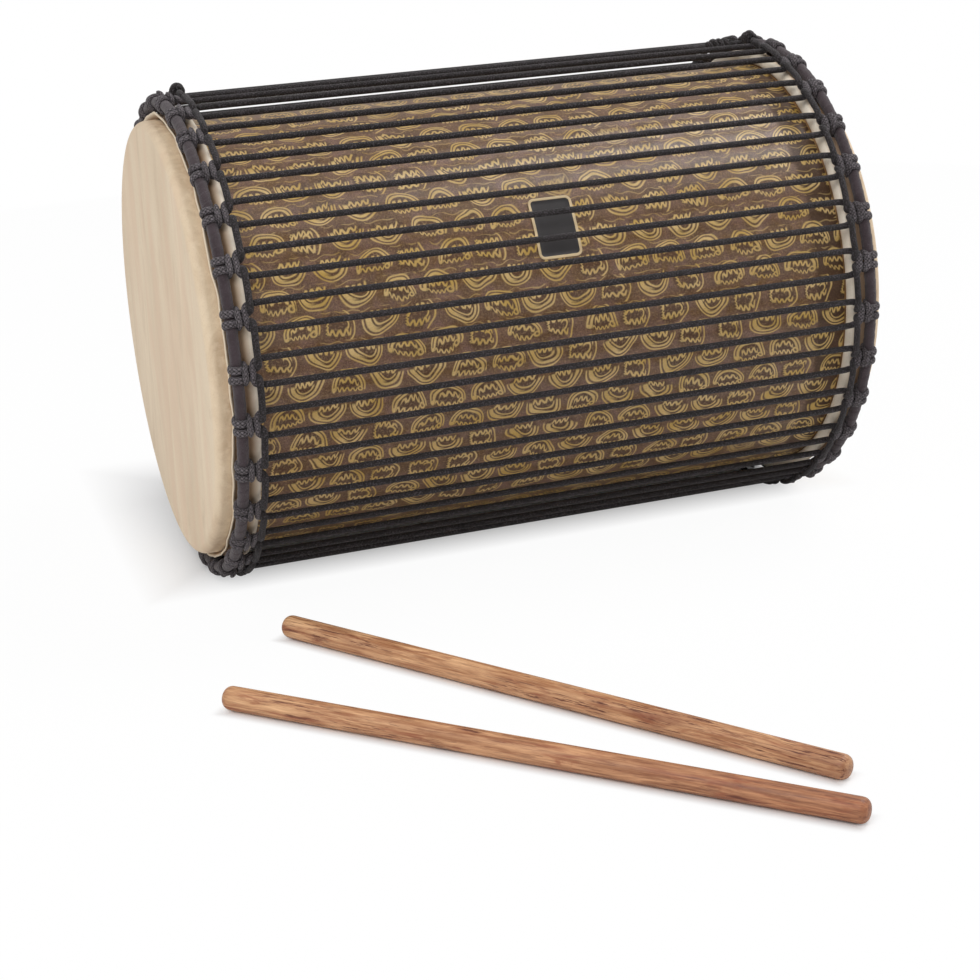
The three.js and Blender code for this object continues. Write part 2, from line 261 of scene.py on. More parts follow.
# %% [markdown]
# Three effects are wanted by more than one finish, so each is a node group with named inputs: a
# weave for the rope's braid and the binding's cloth, soft mottling for hide, print and cloth, and
# long streaks of grain for the shell and the sticks. A group hands back only masks and heights.

# %% Node group: weave
def new_group(name, inputs, outputs):
    """A shader node group with float or vector sockets and its own input node."""
    group = bpy.data.node_groups.new(name, "ShaderNodeTree")
    for label, kind, value in inputs:
        socket = group.interface.new_socket(label, in_out="INPUT", socket_type=kind)
        if value is not None:
            socket.default_value = value
    for label in outputs:
        group.interface.new_socket(label, in_out="OUTPUT", socket_type="NodeSocketFloat")
    start = group.nodes.new("NodeGroupInput")
    end = group.nodes.new("NodeGroupOutput")
    return group, start, end


def use_group(tree, group, **inputs):
    """Places a group in a material and hands back its outputs as fields, by name."""
    node = tree.nodes.new("ShaderNodeGroup")
    node.node_tree = group
    for name, value in inputs.items():
        feed(tree, value, node.inputs[name.capitalize()])
    return {output.name: Field(tree, output) for output in node.outputs}


weave, weave_in, weave_out = new_group(
    "weave", [("Across", "NodeSocketFloat", 0.0), ("Along", "NodeSocketFloat", 0.0)], ["Height", "Over"],
)
thread_a = Field(weave, weave_in.outputs["Across"])
thread_b = Field(weave, weave_in.outputs["Along"])
checker = (thread_a.math("FLOOR") + thread_b.math("FLOOR")).math("MODULO", 2.0).math("ABSOLUTE")
crown_a = (thread_a.math("FRACT") * math.pi).math("SINE")
crown_b = (thread_b.math("FRACT") * math.pi).math("SINE")
over_a = crown_a.math("POWER", 0.6) * crown_b.ramp(0.0, 1.0, 0.55, 1.0)
over_b = crown_b.math("POWER", 0.6) * crown_a.ramp(0.0, 1.0, 0.55, 1.0)
height = checker * over_a + (checker * -1.0 + 1.0) * over_b
feed(weave, height, weave_out.inputs["Height"])
feed(weave, checker, weave_out.inputs["Over"])
print("weave group nodes", len(weave.nodes))

# %% Node group: mottle
SPECK_FINER = 23.0
MOTTLE_SPREAD = 2.4

mottle, mottle_in, mottle_out = new_group(
    "mottle",
    [
        ("Vector", "NodeSocketVector", None),
        ("Scale", "NodeSocketFloat", 8.0),
        ("Contrast", "NodeSocketFloat", 1.0),
    ],
    ["Cloud", "Speck"],
)
cloud = noise(mottle, mottle_in.outputs["Vector"], mottle_in.outputs["Scale"], 5.0, 0.6, 0.4)
fine_scale = Field(mottle, mottle_in.outputs["Scale"]) * SPECK_FINER
speck = noise(mottle, mottle_in.outputs["Vector"], fine_scale, 2.0, 0.5)
spread = Field(mottle, mottle_in.outputs["Contrast"]) * MOTTLE_SPREAD
feed(mottle, ((cloud - 0.5) * spread).math("ADD", 0.5, clamp=True), mottle_out.inputs["Cloud"])
feed(mottle, ((speck - 0.5) * spread).math("ADD", 0.5, clamp=True), mottle_out.inputs["Speck"])
print("mottle group nodes", len(mottle.nodes))

# %% Node group: grain
PORE_FINER = 6.5
RING_WANDER_COARSER = 0.35
RING_WANDER = 0.03
RING_FINER = 4.4

grain, grain_in, grain_out = new_group(
    "grain",
    [
        ("Vector", "NodeSocketVector", None),
        ("Stretch", "NodeSocketFloat", 0.06),
        ("Scale", "NodeSocketFloat", 90.0),
    ],
    ["Streak", "Pore", "Ring"],
)
grain_x, grain_y, grain_z = split(grain, grain_in.outputs["Vector"])
stretch = Field(grain, grain_in.outputs["Stretch"])
long_vector = vector_of(grain, grain_x * stretch, grain_y, grain_z)
grain_scale = Field(grain, grain_in.outputs["Scale"])
streak = noise(grain, long_vector, grain_scale, 6.0, 0.62, 0.3)
pore = noise(grain, long_vector, grain_scale * PORE_FINER, 3.0, 0.7)
wander = noise(grain, long_vector, grain_scale * RING_WANDER_COARSER, 2.0, 0.5, 0.6)
ring = ((grain_y + wander * RING_WANDER) * grain_scale * RING_FINER).math("SINE") * 0.5 + 0.5
feed(grain, streak.ramp(0.3, 0.7), grain_out.inputs["Streak"])
feed(grain, pore.ramp(0.56, 0.68), grain_out.inputs["Pore"])
feed(grain, ring, grain_out.inputs["Ring"])
print("shared groups", [group.name for group in bpy.data.node_groups])

# %% [markdown]
# The floor is a pale studio sweep. In a strip by the drum and close under each stick it takes light
# and shadow like paper. Everywhere else it fades into plain white, so the picture has a white ground
# while the lamps stay at a level at which a colour renders about as it is written. Brighter lamps
# would whiten the paper too, but they would wash out the hide and the print.

# %% Floor sheet
FLOOR_SIZE = 14.0

floor_mesh = bpy.data.meshes.new("floor")
half = FLOOR_SIZE / 2
corners = [(-half, -half, 0), (half, -half, 0), (half, half, 0), (-half, half, 0)]
floor_mesh.from_pydata(corners, [], [(0, 1, 2, 3)])
floor = bpy.data.objects.new("floor", floor_mesh)
bpy.context.scene.collection.objects.link(floor)
print("floor", FLOOR_SIZE, "m square")

# %% Floor material
FLOOR_NEAR = 0.85
FLOOR_FAR = 1.7
FLOOR_GLOW = 0.96
CONTACT_LONG = 0.25
CONTACT_WIDE = 0.1
CONTACT_BACK = 0.11
CONTACT_FADE = 0.08
STICK_LENGTH = 478 * MM
STICK_TURNS = {"stick_1": -53.0, "stick_2": -44.0}
STICK_CONTACT = 6 * MM
STICK_FADE = 9 * MM

floor_material, tree, shader = new_material("studio_floor", 0.85, Specular_IOR_Level=0.1)
floor_place = object_place(tree)
floor_x, floor_y, _ = split(tree, floor_place)
from_middle = floor_x.length(floor_y).ramp(FLOOR_NEAR, FLOOR_FAR)
along_drum = (floor_x - DRUM_CENTRE.x).math("ABSOLUTE")
across_drum = (floor_y - (DRUM_CENTRE.y + CONTACT_BACK)).math("ABSOLUTE")
beyond_ends = along_drum.ramp(CONTACT_LONG, CONTACT_LONG + CONTACT_FADE)
beyond_sides = across_drum.ramp(CONTACT_WIDE, CONTACT_WIDE + CONTACT_FADE)
off_contact = beyond_ends.math("MAXIMUM", beyond_sides)
for name, turn in STICK_TURNS.items():
    low, high = (np.array(corner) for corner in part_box(name))
    middle = (low + high) / 2
    way = math.radians(turn)
    from_x, from_y = floor_x - middle[0], floor_y - middle[1]
    along_stick = (from_x * math.cos(way) + from_y * math.sin(way)).math("ABSOLUTE")
    across_stick = (from_y * math.cos(way) - from_x * math.sin(way)).math("ABSOLUTE")
    beyond_tip = along_stick.ramp(STICK_LENGTH / 2 - STICK_FADE, STICK_LENGTH / 2 + STICK_CONTACT)
    beyond_edge = across_stick.ramp(STICK_CONTACT, STICK_CONTACT + STICK_FADE)
    off_stick = beyond_tip.math("MAXIMUM", beyond_edge)
    off_contact = off_contact.math("MINIMUM", off_stick)
whiteness = from_middle.math("MAXIMUM", off_contact * FLOOR_GLOW)
paper = noise(tree, floor_place, 300.0, 2.0)
paper_tone = mix_colour(tree, paper, linear(247, 247, 248), linear(251, 251, 251))
feed(tree, paper_tone, shader.inputs["Base Color"])
glow = add_node(tree, "ShaderNodeEmission", color=(1, 1, 1, 1), strength=1.0)
blend = tree.nodes.new("ShaderNodeMixShader")
light_path = tree.nodes.new("ShaderNodeLightPath")
is_seen = Field(tree, light_path.outputs["Is Camera Ray"])
feed(tree, is_seen * whiteness, blend.inputs[0])
tree.links.new(shader.outputs[0], blend.inputs[1])
tree.links.new(glow.outputs[0], blend.inputs[2])
tree.links.new(blend.outputs[0], tree.nodes["Material Output"].inputs["Surface"])
floor_mesh.materials.append(floor_material)
print("floor nodes", len(tree.nodes))

# %% [markdown]
# The world is what lies round the drum on every side. A bright one would light it evenly and flatten
# it. This one lights weakly, so that the lamps give the form, but looks plain white to the camera and
# in anything that shines.

# %% World
AMBIENT = 0.45

world = bpy.data.worlds.new("studio")
world.use_nodes = True
bpy.context.scene.world = world
tree = world.node_tree
background = tree.nodes["Background"]
background.inputs["Color"].default_value = (1, 1, 1, 1)
light_path = tree.nodes.new("ShaderNodeLightPath")
direct = Field(tree, light_path.outputs["Is Camera Ray"])
glossy = Field(tree, light_path.outputs["Is Glossy Ray"])
clear = Field(tree, light_path.outputs["Is Transmission Ray"])
seen = direct.math("MAXIMUM", glossy).math("MAXIMUM", clear)
feed(tree, seen.ramp(0.0, 1.0, AMBIENT, 1.0), background.inputs["Strength"])
print("world lights at", AMBIENT, "and is seen as white")

# %% [markdown]
# A drum's side is a big curved mirror for whatever hangs above it. One soft square lamp is the key,
# high on the left and in front. A second one is above on the right and draws the satin streak along
# the cover, and a weak one fills the shadows of the ropes from the right.

# %% Lamps
LAMPS = [
    {"name": "key", "place": (-1.5, -1.5, 1.9), "size": 1.4, "power": 30.0},
    {"name": "overhead", "place": (1.05, -0.1, 1.85), "size": 1.1, "power": 22.0},
    {"name": "fill", "place": (1.9, -1.3, 1.1), "size": 1.2, "power": 4.0},
]

for lamp in LAMPS:
    light = bpy.data.lights.new(lamp["name"], "AREA")
    light.shape = "SQUARE"
    light.size = lamp["size"]
    light.energy = lamp["power"]
    light_object = bpy.data.objects.new(lamp["name"], light)
    place = DRUM_CENTRE + Vector(lamp["place"])
    turn = (DRUM_CENTRE - place).to_track_quat("-Z", "Y").to_matrix().to_4x4()
    light_object.matrix_world = Matrix.Translation(place) @ turn
    bpy.context.scene.collection.objects.link(light_object)
print("lamps", [lamp["name"] for lamp in LAMPS])

# %% [markdown]
# The drum's sizes, in metres. The solids were made from the same values, so each visible piece fills
# the space of the solid that it stands for. The flare of the hide's cut edge and the cradle ropes'
# ties are drawn a little finer than their solids. Places round the drum are angles from the top
# towards the player.

# %% Sizes of the drum
SEAT_GAP = 0.3 * MM
DRUM_LENGTH = 560 * MM
SHELL_RADIUS = 175 * MM
EDGE_ROUND = 5.1 * MM
SKIN = 1.2 * MM
FLESH_ROD = 6 * MM
LAP = 12.6 * MM
LAP_FLARE = 3.2 * MM
LAP_FLARE_LENGTH = 3.6 * MM
CROWN_STEP = 10.2 * MM
CROWN_SETBACK = 18 * MM
CROWN_BOUND = 9.4 * MM
ROPE = 5 * MM
KNOTS = 30
KNOT_PHASE = math.radians(-1)

HEAD_X = DRUM_LENGTH / 2
CROWN_X = HEAD_X - CROWN_SETBACK
SHELL_X = HEAD_X - SKIN - SEAT_GAP
SKIN_MIDDLE = SHELL_RADIUS + SEAT_GAP + SKIN / 2
LAP_MIDDLE = SKIN_MIDDLE + SKIN + SEAT_GAP
FLESH_RADIUS = SHELL_RADIUS + 2 * SEAT_GAP + SKIN + FLESH_ROD / 2
ROLL_RADIUS = FLESH_ROD / 2 + SEAT_GAP + SKIN / 2
CROWN_RADIUS = FLESH_RADIUS + CROWN_STEP
HOOP_SPACING = CROWN_BOUND / 2 + ROLL_RADIUS + SKIN / 2 + ROPE + 3 * SEAT_GAP
FLESH_X = CROWN_X - math.sqrt(HOOP_SPACING**2 - CROWN_STEP**2)
KNOT_STEP = 2 * math.pi / KNOTS
ENDS = {
    "left": {"sign": -1, "phase": KNOT_PHASE},
    "right": {"sign": 1, "phase": KNOT_PHASE + KNOT_STEP / 2},
}


def round_drum(x, radius, angle):
    """Points in the part's frame from places along the drum, radii and angles."""
    x, radius, angle = np.broadcast_arrays(x, radius, angle)
    points = np.stack([x, -radius * np.sin(angle), radius * np.cos(angle)], axis=-1)
    return points + np.array(DRUM_CENTRE)


print("crown hoop radius", round(CROWN_RADIUS, 4), "flesh hoop at", round(FLESH_X, 4))

# %% [markdown]
# Nearly every piece here is a row of rings: a rope's sections, a hoop's sections, or a hide's cut
# from middle to edge, repeated round the drum. One helper joins such rings into a mesh, and stores
# how far round and how far along each corner is. Those two lengths, as a UV map named wrap, let
# threads and print follow the piece instead of floating in space.

# %% Ring mesh helper
def make_piece(name, points, faces, wrap, material):
    """A mesh object from points, faces and one (around, along) pair for each face corner."""
    mesh = bpy.data.meshes.new(name)
    mesh.from_pydata(points.tolist(), [], faces)
    layer = mesh.uv_layers.new(name="wrap")
    layer.data.foreach_set("uv", np.asarray(wrap, dtype=np.float32).ravel())
    mesh.polygons.foreach_set("use_smooth", [True] * len(mesh.polygons))
    mesh.materials.append(material)
    mesh.validate()
    piece = bpy.data.objects.new(name, mesh)
    bpy.context.scene.collection.objects.link(piece)
    return piece


def ring_faces(rings, sides, closed_along, around, along):
    """Quads between neighbouring rings, with their wrap values."""
    faces = []
    wrap = []
    last = rings if closed_along else rings - 1
    for i in range(last):
        after = (i + 1) % rings
        for j in range(sides):
            beside = (j + 1) % sides
            faces.append((i * sides + j, i * sides + beside, after * sides + beside, after * sides + j))
            here, ahead = along[i], along[i + 1]
            left_edge, right_edge = around[j], around[j + 1]
            wrap += [(left_edge, here), (right_edge, here), (right_edge, ahead), (left_edge, ahead)]
    return faces, wrap


def loft(name, rings, material, around, along, closed=False):
    """Joins an array of rings (ring, side, xyz) into a body, capped where its ends don't meet."""
    count, sides, _ = rings.shape
    faces, wrap = ring_faces(count, sides, closed, around, along)
    if not closed:
        first_cap = tuple(range(sides))[::-1]
        last_cap = tuple(range((count - 1) * sides, count * sides))
        faces += [first_cap, last_cap]
        wrap += [(around[0], along[0])] * sides + [(around[0], along[count - 1])] * sides
    return make_piece(name, rings.reshape(-1, 3), faces, wrap, material)


def wrap_place(tree):
    """How far round and how far along its piece each point is, for use in a material."""
    uv = tree.nodes.new("ShaderNodeUVMap")
    uv.uv_map = "wrap"
    around, along, _ = split(tree, uv.outputs[0])
    return around, along


def finish_piece(piece, body, slot, *nodes):
    """Ties a piece to its body and hides the solids that it stands for. The slot argument is not used.
    """
    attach(piece, body)
    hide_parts(*nodes)
    print(piece.name, len(piece.data.polygons), "faces")


print("ring helpers ready, with lengths kept in a UV map named wrap")

# %% [markdown]
# The heads are goat hide, laid on wet, lapped round a steel flesh hoop and back out under the crown
# hoop, then trimmed. The cut edge is never straight, and the wet hide dries in soft pleats that
# point at the knots. A turned strip with those two waves pressed in shows this better than a flat
# disc, and its cut edge has real thickness. The strip's middle line is drawn part by part, and the
# way along it is kept, so that the colour can follow the hide from the face to the cut edge.

# %% Waves and directions
def full_turn(steps):
    """Even angles once round, without the last one, which is the first one again."""
    return np.linspace(0, 2 * np.pi, steps, endpoint=False)


def slow_wave(angle, shift):
    """A wandering line from a few sines, from about -1 to 1."""
    waves = [(7, 0.4, 0.9), (13, 0.3, 2.1), (23, 0.22, 4.0), (37, 0.16, 0.7)]
    return sum(size * np.sin(count * angle + phase + shift) for count, size, phase in waves)


def way_along(points):
    """How far along a line each of its points is."""
    return np.concatenate([[0.0], np.cumsum(np.linalg.norm(np.diff(points, axis=0), axis=1))])


def unit(vectors):
    """The same directions, each with a length of one."""
    return vectors / np.linalg.norm(vectors, axis=-1, keepdims=True)


def tangents(points):
    """The direction of a line at each of its points."""
    return unit(np.gradient(points, axis=0))


print("the slow wave at the top", round(float(slow_wave(0.0, 0.0)), 3))

# %% Outline of the hide
HIDE_STEPS = {"face": 14, "edge": 9, "side": 9, "roll": 17, "lap": 8, "flare": 5}
ROLL_SLACK = 0.8 * MM
ROLL_END = math.radians(480)
FLARE_BEND = 1.4


def arc(centre_radius, centre_x, radius, start, end, steps):
    angle = np.linspace(start, end, steps)
    return np.stack([centre_radius + radius * np.cos(angle), centre_x + radius * np.sin(angle)], axis=1)


def head_parts():
    """The middle of the hide from the head's centre to its trimmed edge, as (radius, x) points."""
    edge_centre = SHELL_RADIUS - EDGE_ROUND
    edge = EDGE_ROUND + SEAT_GAP + SKIN / 2
    face_x = HEAD_X - SKIN / 2
    roll = ROLL_RADIUS + ROLL_SLACK
    roll_centre = FLESH_RADIUS + ROLL_SLACK
    edge_x = SHELL_X - EDGE_ROUND
    lap_start = FLESH_X + roll
    lap_end = FLESH_X + LAP
    steps = HIDE_STEPS
    share = np.linspace(0, 1, steps["flare"])[1:]
    flare_radius = LAP_MIDDLE + LAP_FLARE * share**FLARE_BEND
    flare_x = lap_end + LAP_FLARE_LENGTH * share
    return {
        "face": np.linspace((0, face_x), (edge_centre, face_x), steps["face"]),
        "edge": arc(edge_centre, edge_x, edge, math.pi / 2, 0.0, steps["edge"])[1:],
        "side": np.linspace((SKIN_MIDDLE, edge_x), (SKIN_MIDDLE, FLESH_X), steps["side"])[1:-1],
        "roll": arc(roll_centre, FLESH_X, roll, math.pi, ROLL_END, steps["roll"]),
        "lap": np.linspace((LAP_MIDDLE, lap_start), (LAP_MIDDLE, lap_end), steps["lap"]),
        "flare": np.stack([flare_radius, flare_x], axis=1),
    }


def strip_outline(path, thickness):
    """Both sides of a strip along a path, as one closed outline, with the way along it."""
    step = tangents(path)
    normal = np.stack([-step[:, 1], step[:, 0]], axis=1) * thickness / 2
    way = way_along(path)
    outline = np.concatenate([path + normal, (path - normal)[::-1]])
    outline[:, 0] = np.maximum(outline[:, 0], 0.0)
    return outline, np.concatenate([way, way[::-1]])


head_pieces = head_parts()
head_path = np.concatenate(list(head_pieces.values()))
head_outline, head_way = strip_outline(head_path, SKIN)
part_ends = np.cumsum([len(part) for part in head_pieces.values()]) - 1
HIDE_WAY = dict(zip(head_pieces, way_along(head_path)[part_ends]))
print("way along the hide", {name: round(float(way), 4) for name, way in HIDE_WAY.items()})

# %% [markdown]
# Natural hide is cream, with blushes and veins. It is stained where it was soaked and pulled down
# over the shell, pale where it is folded round the flesh hoop, and lightest at the fresh cut. Where
# the roll turns in under the crown hoop, the hoop's shadow is painted on it in brown. The way along
# the hide tells the material where each of these begins. They are laid over one another as thin
# coats, each with the share that it covers.

# %% Hide material
FACE_LIGHT = linear(242, 224, 197)
FACE_DARK = linear(221, 198, 167)
FACE_VEIN = linear(196, 166, 132)
FACE_BLUSH = linear(226, 192, 162)
SIDE_TONE = linear(221, 199, 168)
SIDE_STAIN = linear(172, 138, 104)
ROLL_TONE = linear(240, 230, 214)
# Painted shadow of the crown hoop on the hide's roll.
HOOP_SHADOW_PAINT = linear(116, 80, 52)
CUT_TONE = linear(248, 232, 206)


def hide_material():
    material, tree, shader = new_material("hide", 0.55, Specular_IOR_Level=0.35)
    place = object_place(tree)
    way, _ = wrap_place(tree)
    wide = use_group(tree, mottle, vector=scaled(tree, place, (1.0, 1.0, 0.45)), scale=9.0, contrast=1.1)
    small = use_group(tree, mottle, vector=place, scale=55.0, contrast=0.9)
    vein = noise(tree, scaled(tree, place, (1.0, 1.0, 0.3)), 22.0, 6.0, 0.6, 1.2).ramp(0.54, 0.7)
    streak = noise(tree, scaled(tree, place, (1.0, 1.0, 0.12)), 34.0, 3.0, 0.6, 0.5).ramp(0.45, 0.62)
    stain = noise(tree, scaled(tree, place, (1.0, 1.0, 0.5)), 24.0, 5.0, 0.62, 0.8).ramp(0.46, 0.66)
    fleck = noise(tree, place, 160.0, 3.0, 0.6).ramp(0.5, 0.72)
    pale = noise(tree, place, 60.0, 4.0, 0.6).ramp(0.3, 0.7, 0.7, 1.0)
    speckle = small["Speck"].ramp(0.62, 0.9)
    on_side = way.ramp(HIDE_WAY["face"], HIDE_WAY["edge"] + 1 * MM)
    roll_start = way.ramp(HIDE_WAY["side"] + 1 * MM, HIDE_WAY["side"] + 6 * MM)
    roll_end = way.ramp(HIDE_WAY["roll"] - 12 * MM, HIDE_WAY["roll"] - 7 * MM, 1.0, 0.0)
    # Where the roll turns in under the crown hoop, its painted shadow begins.
    under_hoop = way.ramp(HIDE_WAY["roll"] - 12.5 * MM, HIDE_WAY["roll"] - 6 * MM)
    cut = way.ramp(HIDE_WAY["flare"] - 3 * MM, HIDE_WAY["flare"] - 0.6 * MM)
    base = coats(
        tree,
        mix_colour(tree, wide["Cloud"], FACE_DARK, FACE_LIGHT),
        (vein * 0.35, FACE_VEIN),
        (streak * 0.4, FACE_BLUSH),
        (on_side * 0.85, SIDE_TONE),
        (on_side * stain * 0.6, SIDE_STAIN),
        (on_side * fleck * 0.4, FACE_LIGHT),
        (roll_start * roll_end * pale, ROLL_TONE),
        (under_hoop * 0.75, HOOP_SHADOW_PAINT),
        (speckle * 0.2, SIDE_STAIN),
        (cut * 0.8, CUT_TONE),
    )
    feed(tree, base, shader.inputs["Base Color"])
    feed(tree, wide["Cloud"].ramp(0.0, 1.0, 0.48, 0.66), shader.inputs["Roughness"])
    relief = small["Cloud"] * 0.6 + small["Speck"] * 0.4
    bump(tree, shader, relief, 0.35 * MM, 0.6)
    return material


hide = hide_material()
print("hide nodes", len(hide.node_tree.nodes))

# %% [markdown]
# The hide's outline is turned round the drum in 480 sections. A plain turned body would look like
# plastic, so the cut edge wanders, the side has a pleat for each knot, and the face sinks a little
# towards its middle. The points that meet there are welded into one.

# %% Make the two heads
HEAD_STEPS = 480
PLEAT = 0.45 * MM
PLEAT_WIDE = 8 * MM
PLEAT_AT_KNOTS = 0.6
PLEAT_BY_CHANCE = 0.5
TRIM = 1.6 * MM
TRIM_RISE = 0.7 * MM
TOP_FLARE = 2.0 * MM
DIMPLE = 0.5 * MM
DIMPLE_EVEN = 0.6
DIMPLE_WAVE = 0.3
WAVE_SHIFT = {"left": 0.0, "right": 1.7}
CENTRE_WELD = 0.02 * MM


def make_head(side):
    end = ENDS[side]
    shift = WAVE_SHIFT[side]
    way = head_way[None, :]
    turn = full_turn(HEAD_STEPS)[:, None]
    radius = head_outline[:, 0][None, :].repeat(HEAD_STEPS, axis=0)
    x = head_outline[:, 1][None, :].repeat(HEAD_STEPS, axis=0)
    # The trimmed edge wanders in and out, and flares most at the top.
    lap_share = np.clip((way - HIDE_WAY["roll"]) / (HIDE_WAY["flare"] - HIDE_WAY["roll"]), 0, 1)
    x = x + lap_share * TRIM * slow_wave(turn, shift)
    radius = radius + lap_share**2 * TRIM_RISE * slow_wave(turn * 2, shift + 2.0)
    radius = radius + lap_share**4 * TOP_FLARE * np.clip(np.cos(turn), 0, 1)
    # The side has a pleat at each knot.
    side_middle = (HIDE_WAY["edge"] + HIDE_WAY["side"]) / 2
    side_share = np.exp(-(((way - side_middle) / PLEAT_WIDE) ** 2))
    pleats = PLEAT_AT_KNOTS * np.cos(KNOTS * (turn - end["phase"]))
    pleats = pleats + PLEAT_BY_CHANCE * slow_wave(turn * 3, shift)
    radius = radius + side_share * PLEAT * pleats
    # The face sinks a little towards its middle.
    face_share = np.clip(1 - way / HIDE_WAY["face"], 0, 1)
    uneven = DIMPLE_WAVE * np.sin(2 * turn + shift) * (1 - face_share)
    x = x - DIMPLE * face_share * (DIMPLE_EVEN + uneven)
    rings = round_drum(end["sign"] * x, radius, turn)
    way_ring = head_way
    if end["sign"] > 0:
        rings = rings[:, ::-1]
        way_ring = head_way[::-1]
    around = np.append(way_ring, way_ring[0])
    along = np.linspace(0, 2 * np.pi * SHELL_RADIUS, HEAD_STEPS + 1)
    head = loft(f"{side}_head", rings, hide, around, along, closed=True)
    merge = head.modifiers.new("merge_centre", "WELD")
    merge.merge_threshold = CENTRE_WELD
    finish_piece(head, "drum", "skin", f"{side}_skin")


for side in ENDS:
    make_head(side)

# %% [markdown]
# Each crown hoop is steel rod bound in a dark cotton strip, so that the rope grips it and the hide
# isn't cut. The cloth is faded and a little fluffy. Its threads come from the weave group as a fine
# bump, because at this size threads drawn as mesh would cost far more than they show.

# %% Cloth material
CLOTH_THREAD = 0.75 * MM
BINDING_THREADS = 40


def cloth_material():
    material, tree, shader = new_material(
        "binding_cloth", 0.92, Specular_IOR_Level=0.2, Sheen_Weight=0.25,
    )
    around, along = wrap_place(tree)
    threads = use_group(tree, weave, across=around * BINDING_THREADS, along=along / CLOTH_THREAD)
    cloudy = use_group(tree, mottle, vector=object_place(tree), scale=60.0, contrast=1.0)
    base = mix_colour(tree, cloudy["Cloud"], linear(70, 59, 61), linear(98, 86, 90))
    # Painted shade: the gaps between the threads are darkened.
    base = mix_colour(tree, threads["Height"] * 0.6, linear(44, 34, 38), base)
    fluff = cloudy["Speck"].ramp(0.7, 0.95)
    base = mix_colour(tree, fluff * 0.3, base, linear(120, 106, 114))
    feed(tree, base, shader.inputs["Base Color"])
    bump(tree, shader, threads["Height"], 0.25 * MM, 0.8)
    return material


cloth = cloth_material()
print("cloth nodes", len(cloth.node_tree.nodes))

# %% [markdown]
# The strip is wound tight, and every turn laps the one before. A long ribbon could be bent round the
# hoop turn by turn. A hoop whose section has one low step, which goes once round the section for
# every turn of the strip, gives the same slanted laps with an even mesh.

# %% Make the two bindings
BINDING_TURNS = 132
BINDING_STEPS = 1584
BINDING_SECTION = 16
LAP_DEPTH = 0.09
LAP_EDGE = 0.12
LAP_SLOPE = 0.8
BINDING_UNEVEN = 0.012


def make_binding(side):
    end = ENDS[side]
    turn = full_turn(BINDING_STEPS)[:, None]
    section = full_turn(BINDING_SECTION)[None, :]
    step = (turn * BINDING_TURNS + section) / (2 * np.pi) % 1.0
    rise = np.clip(step / LAP_EDGE, 0, 1)
    thickness = CROWN_BOUND / 2 * (1 - LAP_DEPTH * (1 - rise * (1 - LAP_SLOPE * step)))
    thickness = thickness * (1 + BINDING_UNEVEN * slow_wave(turn * 3, 0.6))
    radius = CROWN_RADIUS + thickness * np.cos(section)
    x = end["sign"] * CROWN_X + thickness * np.sin(section)
    rings = round_drum(x, radius, turn)[:, ::-1]
    around = np.linspace(0, 1, BINDING_SECTION + 1)
    along = np.linspace(0, 2 * np.pi * CROWN_RADIUS, BINDING_STEPS + 1)
    binding = loft(f"{side}_binding", rings, cloth, around, along, closed=True)
    finish_piece(binding, "drum", "binding_cloth", f"{side}_crown_binding")


for side in ENDS:
    make_binding(side)

# %% [markdown]
# The rope makes thirty cow hitches on each crown hoop, and the tension rope turns under every one of
# them. Drawn on a flat sheet, one knot is a short list of places in millimetres: along the hoop,
# inboard of it and out from it. The first place is on the bar across the knot. The rope goes from
# there down between the hoops, round the crown hoop and over it, dives under the tension rope's
# turn, and comes up again as the run to the next knot. A smooth line goes through every place, and
# the other half of the knot is the first one mirrored.

# %% Places of one flat knot
CRADLE_HALF_KNOT = [
    (0.0, 4.8, 7.2), (3.0, 4.9, 6.9), (5.4, 5.8, 4.4), (6.3, 5.5, -0.4), (6.0, 2.4, -5.0),
    (5.0, -2.8, -4.7), (4.1, -5.3, -0.6), (3.8, -4.2, 3.7), (3.5, 0.0, 5.6), (3.4, 4.0, 4.2),
    (3.2, 8.2, 1.6), (3.0, 11.4, 0.6), (3.3, 14.2, 2.2), (5.2, 15.4, 5.4), (8.8, 15.2, 6.6),
]
TENSION_HALF_TURN = [
    (0.0, 11.0, 4.1), (4.8, 11.3, 3.9), (7.8, 13.2, 3.1), (9.3, 17.0, 2.4), (9.8, 22.0, 2.5),
]
TENSION_OUT = 2.6 * MM
TENSION_TURN_END = 30 * MM
PERIOD = KNOT_STEP * CROWN_RADIUS
print("a knot every", round(PERIOD / MM, 1), "mm along the hoop")

# %% A smooth rope through its places
KNOT_SPACING = 1.1 * MM
SPLINE_STEPS = 12


def smooth_line(places):
    """A curve that bends gently through all its places, with evenly spaced points."""
    first, last = 2 * places[0] - places[1], 2 * places[-1] - places[-2]
    places = np.concatenate([[first], places, [last]])
    points = []
    for a, b, c, d in zip(places, places[1:], places[2:], places[3:]):
        t1 = np.linalg.norm(b - a) ** 0.5
        t2 = t1 + np.linalg.norm(c - b) ** 0.5
        t3 = t2 + np.linalg.norm(d - c) ** 0.5
        t = np.linspace(t1, t2, SPLINE_STEPS, endpoint=False)[:, None]
        ab = (a * (t1 - t) + b * t) / t1
        bc = (b * (t2 - t) + c * (t - t1)) / (t2 - t1)
        cd = (c * (t3 - t) + d * (t - t2)) / (t3 - t2)
        abc = (ab * (t2 - t) + bc * t) / t2
        bcd = (bc * (t3 - t) + cd * (t - t1)) / (t3 - t1)
        points.append((abc * (t2 - t) + bcd * (t - t1)) / (t2 - t1))
    points = np.concatenate(points + [places[-2:-1]])
    way = way_along(points)
    even_way = np.linspace(0, way[-1], round(way[-1] / KNOT_SPACING) + 1)
    return np.stack([np.interp(even_way, way, points[:, i]) for i in range(3)], axis=1)


def both_halves(half_knot):
    """The whole knot from its half, which starts on the middle."""
    return np.concatenate([half_knot[:0:-1] * np.array([-1, 1, 1]), half_knot])


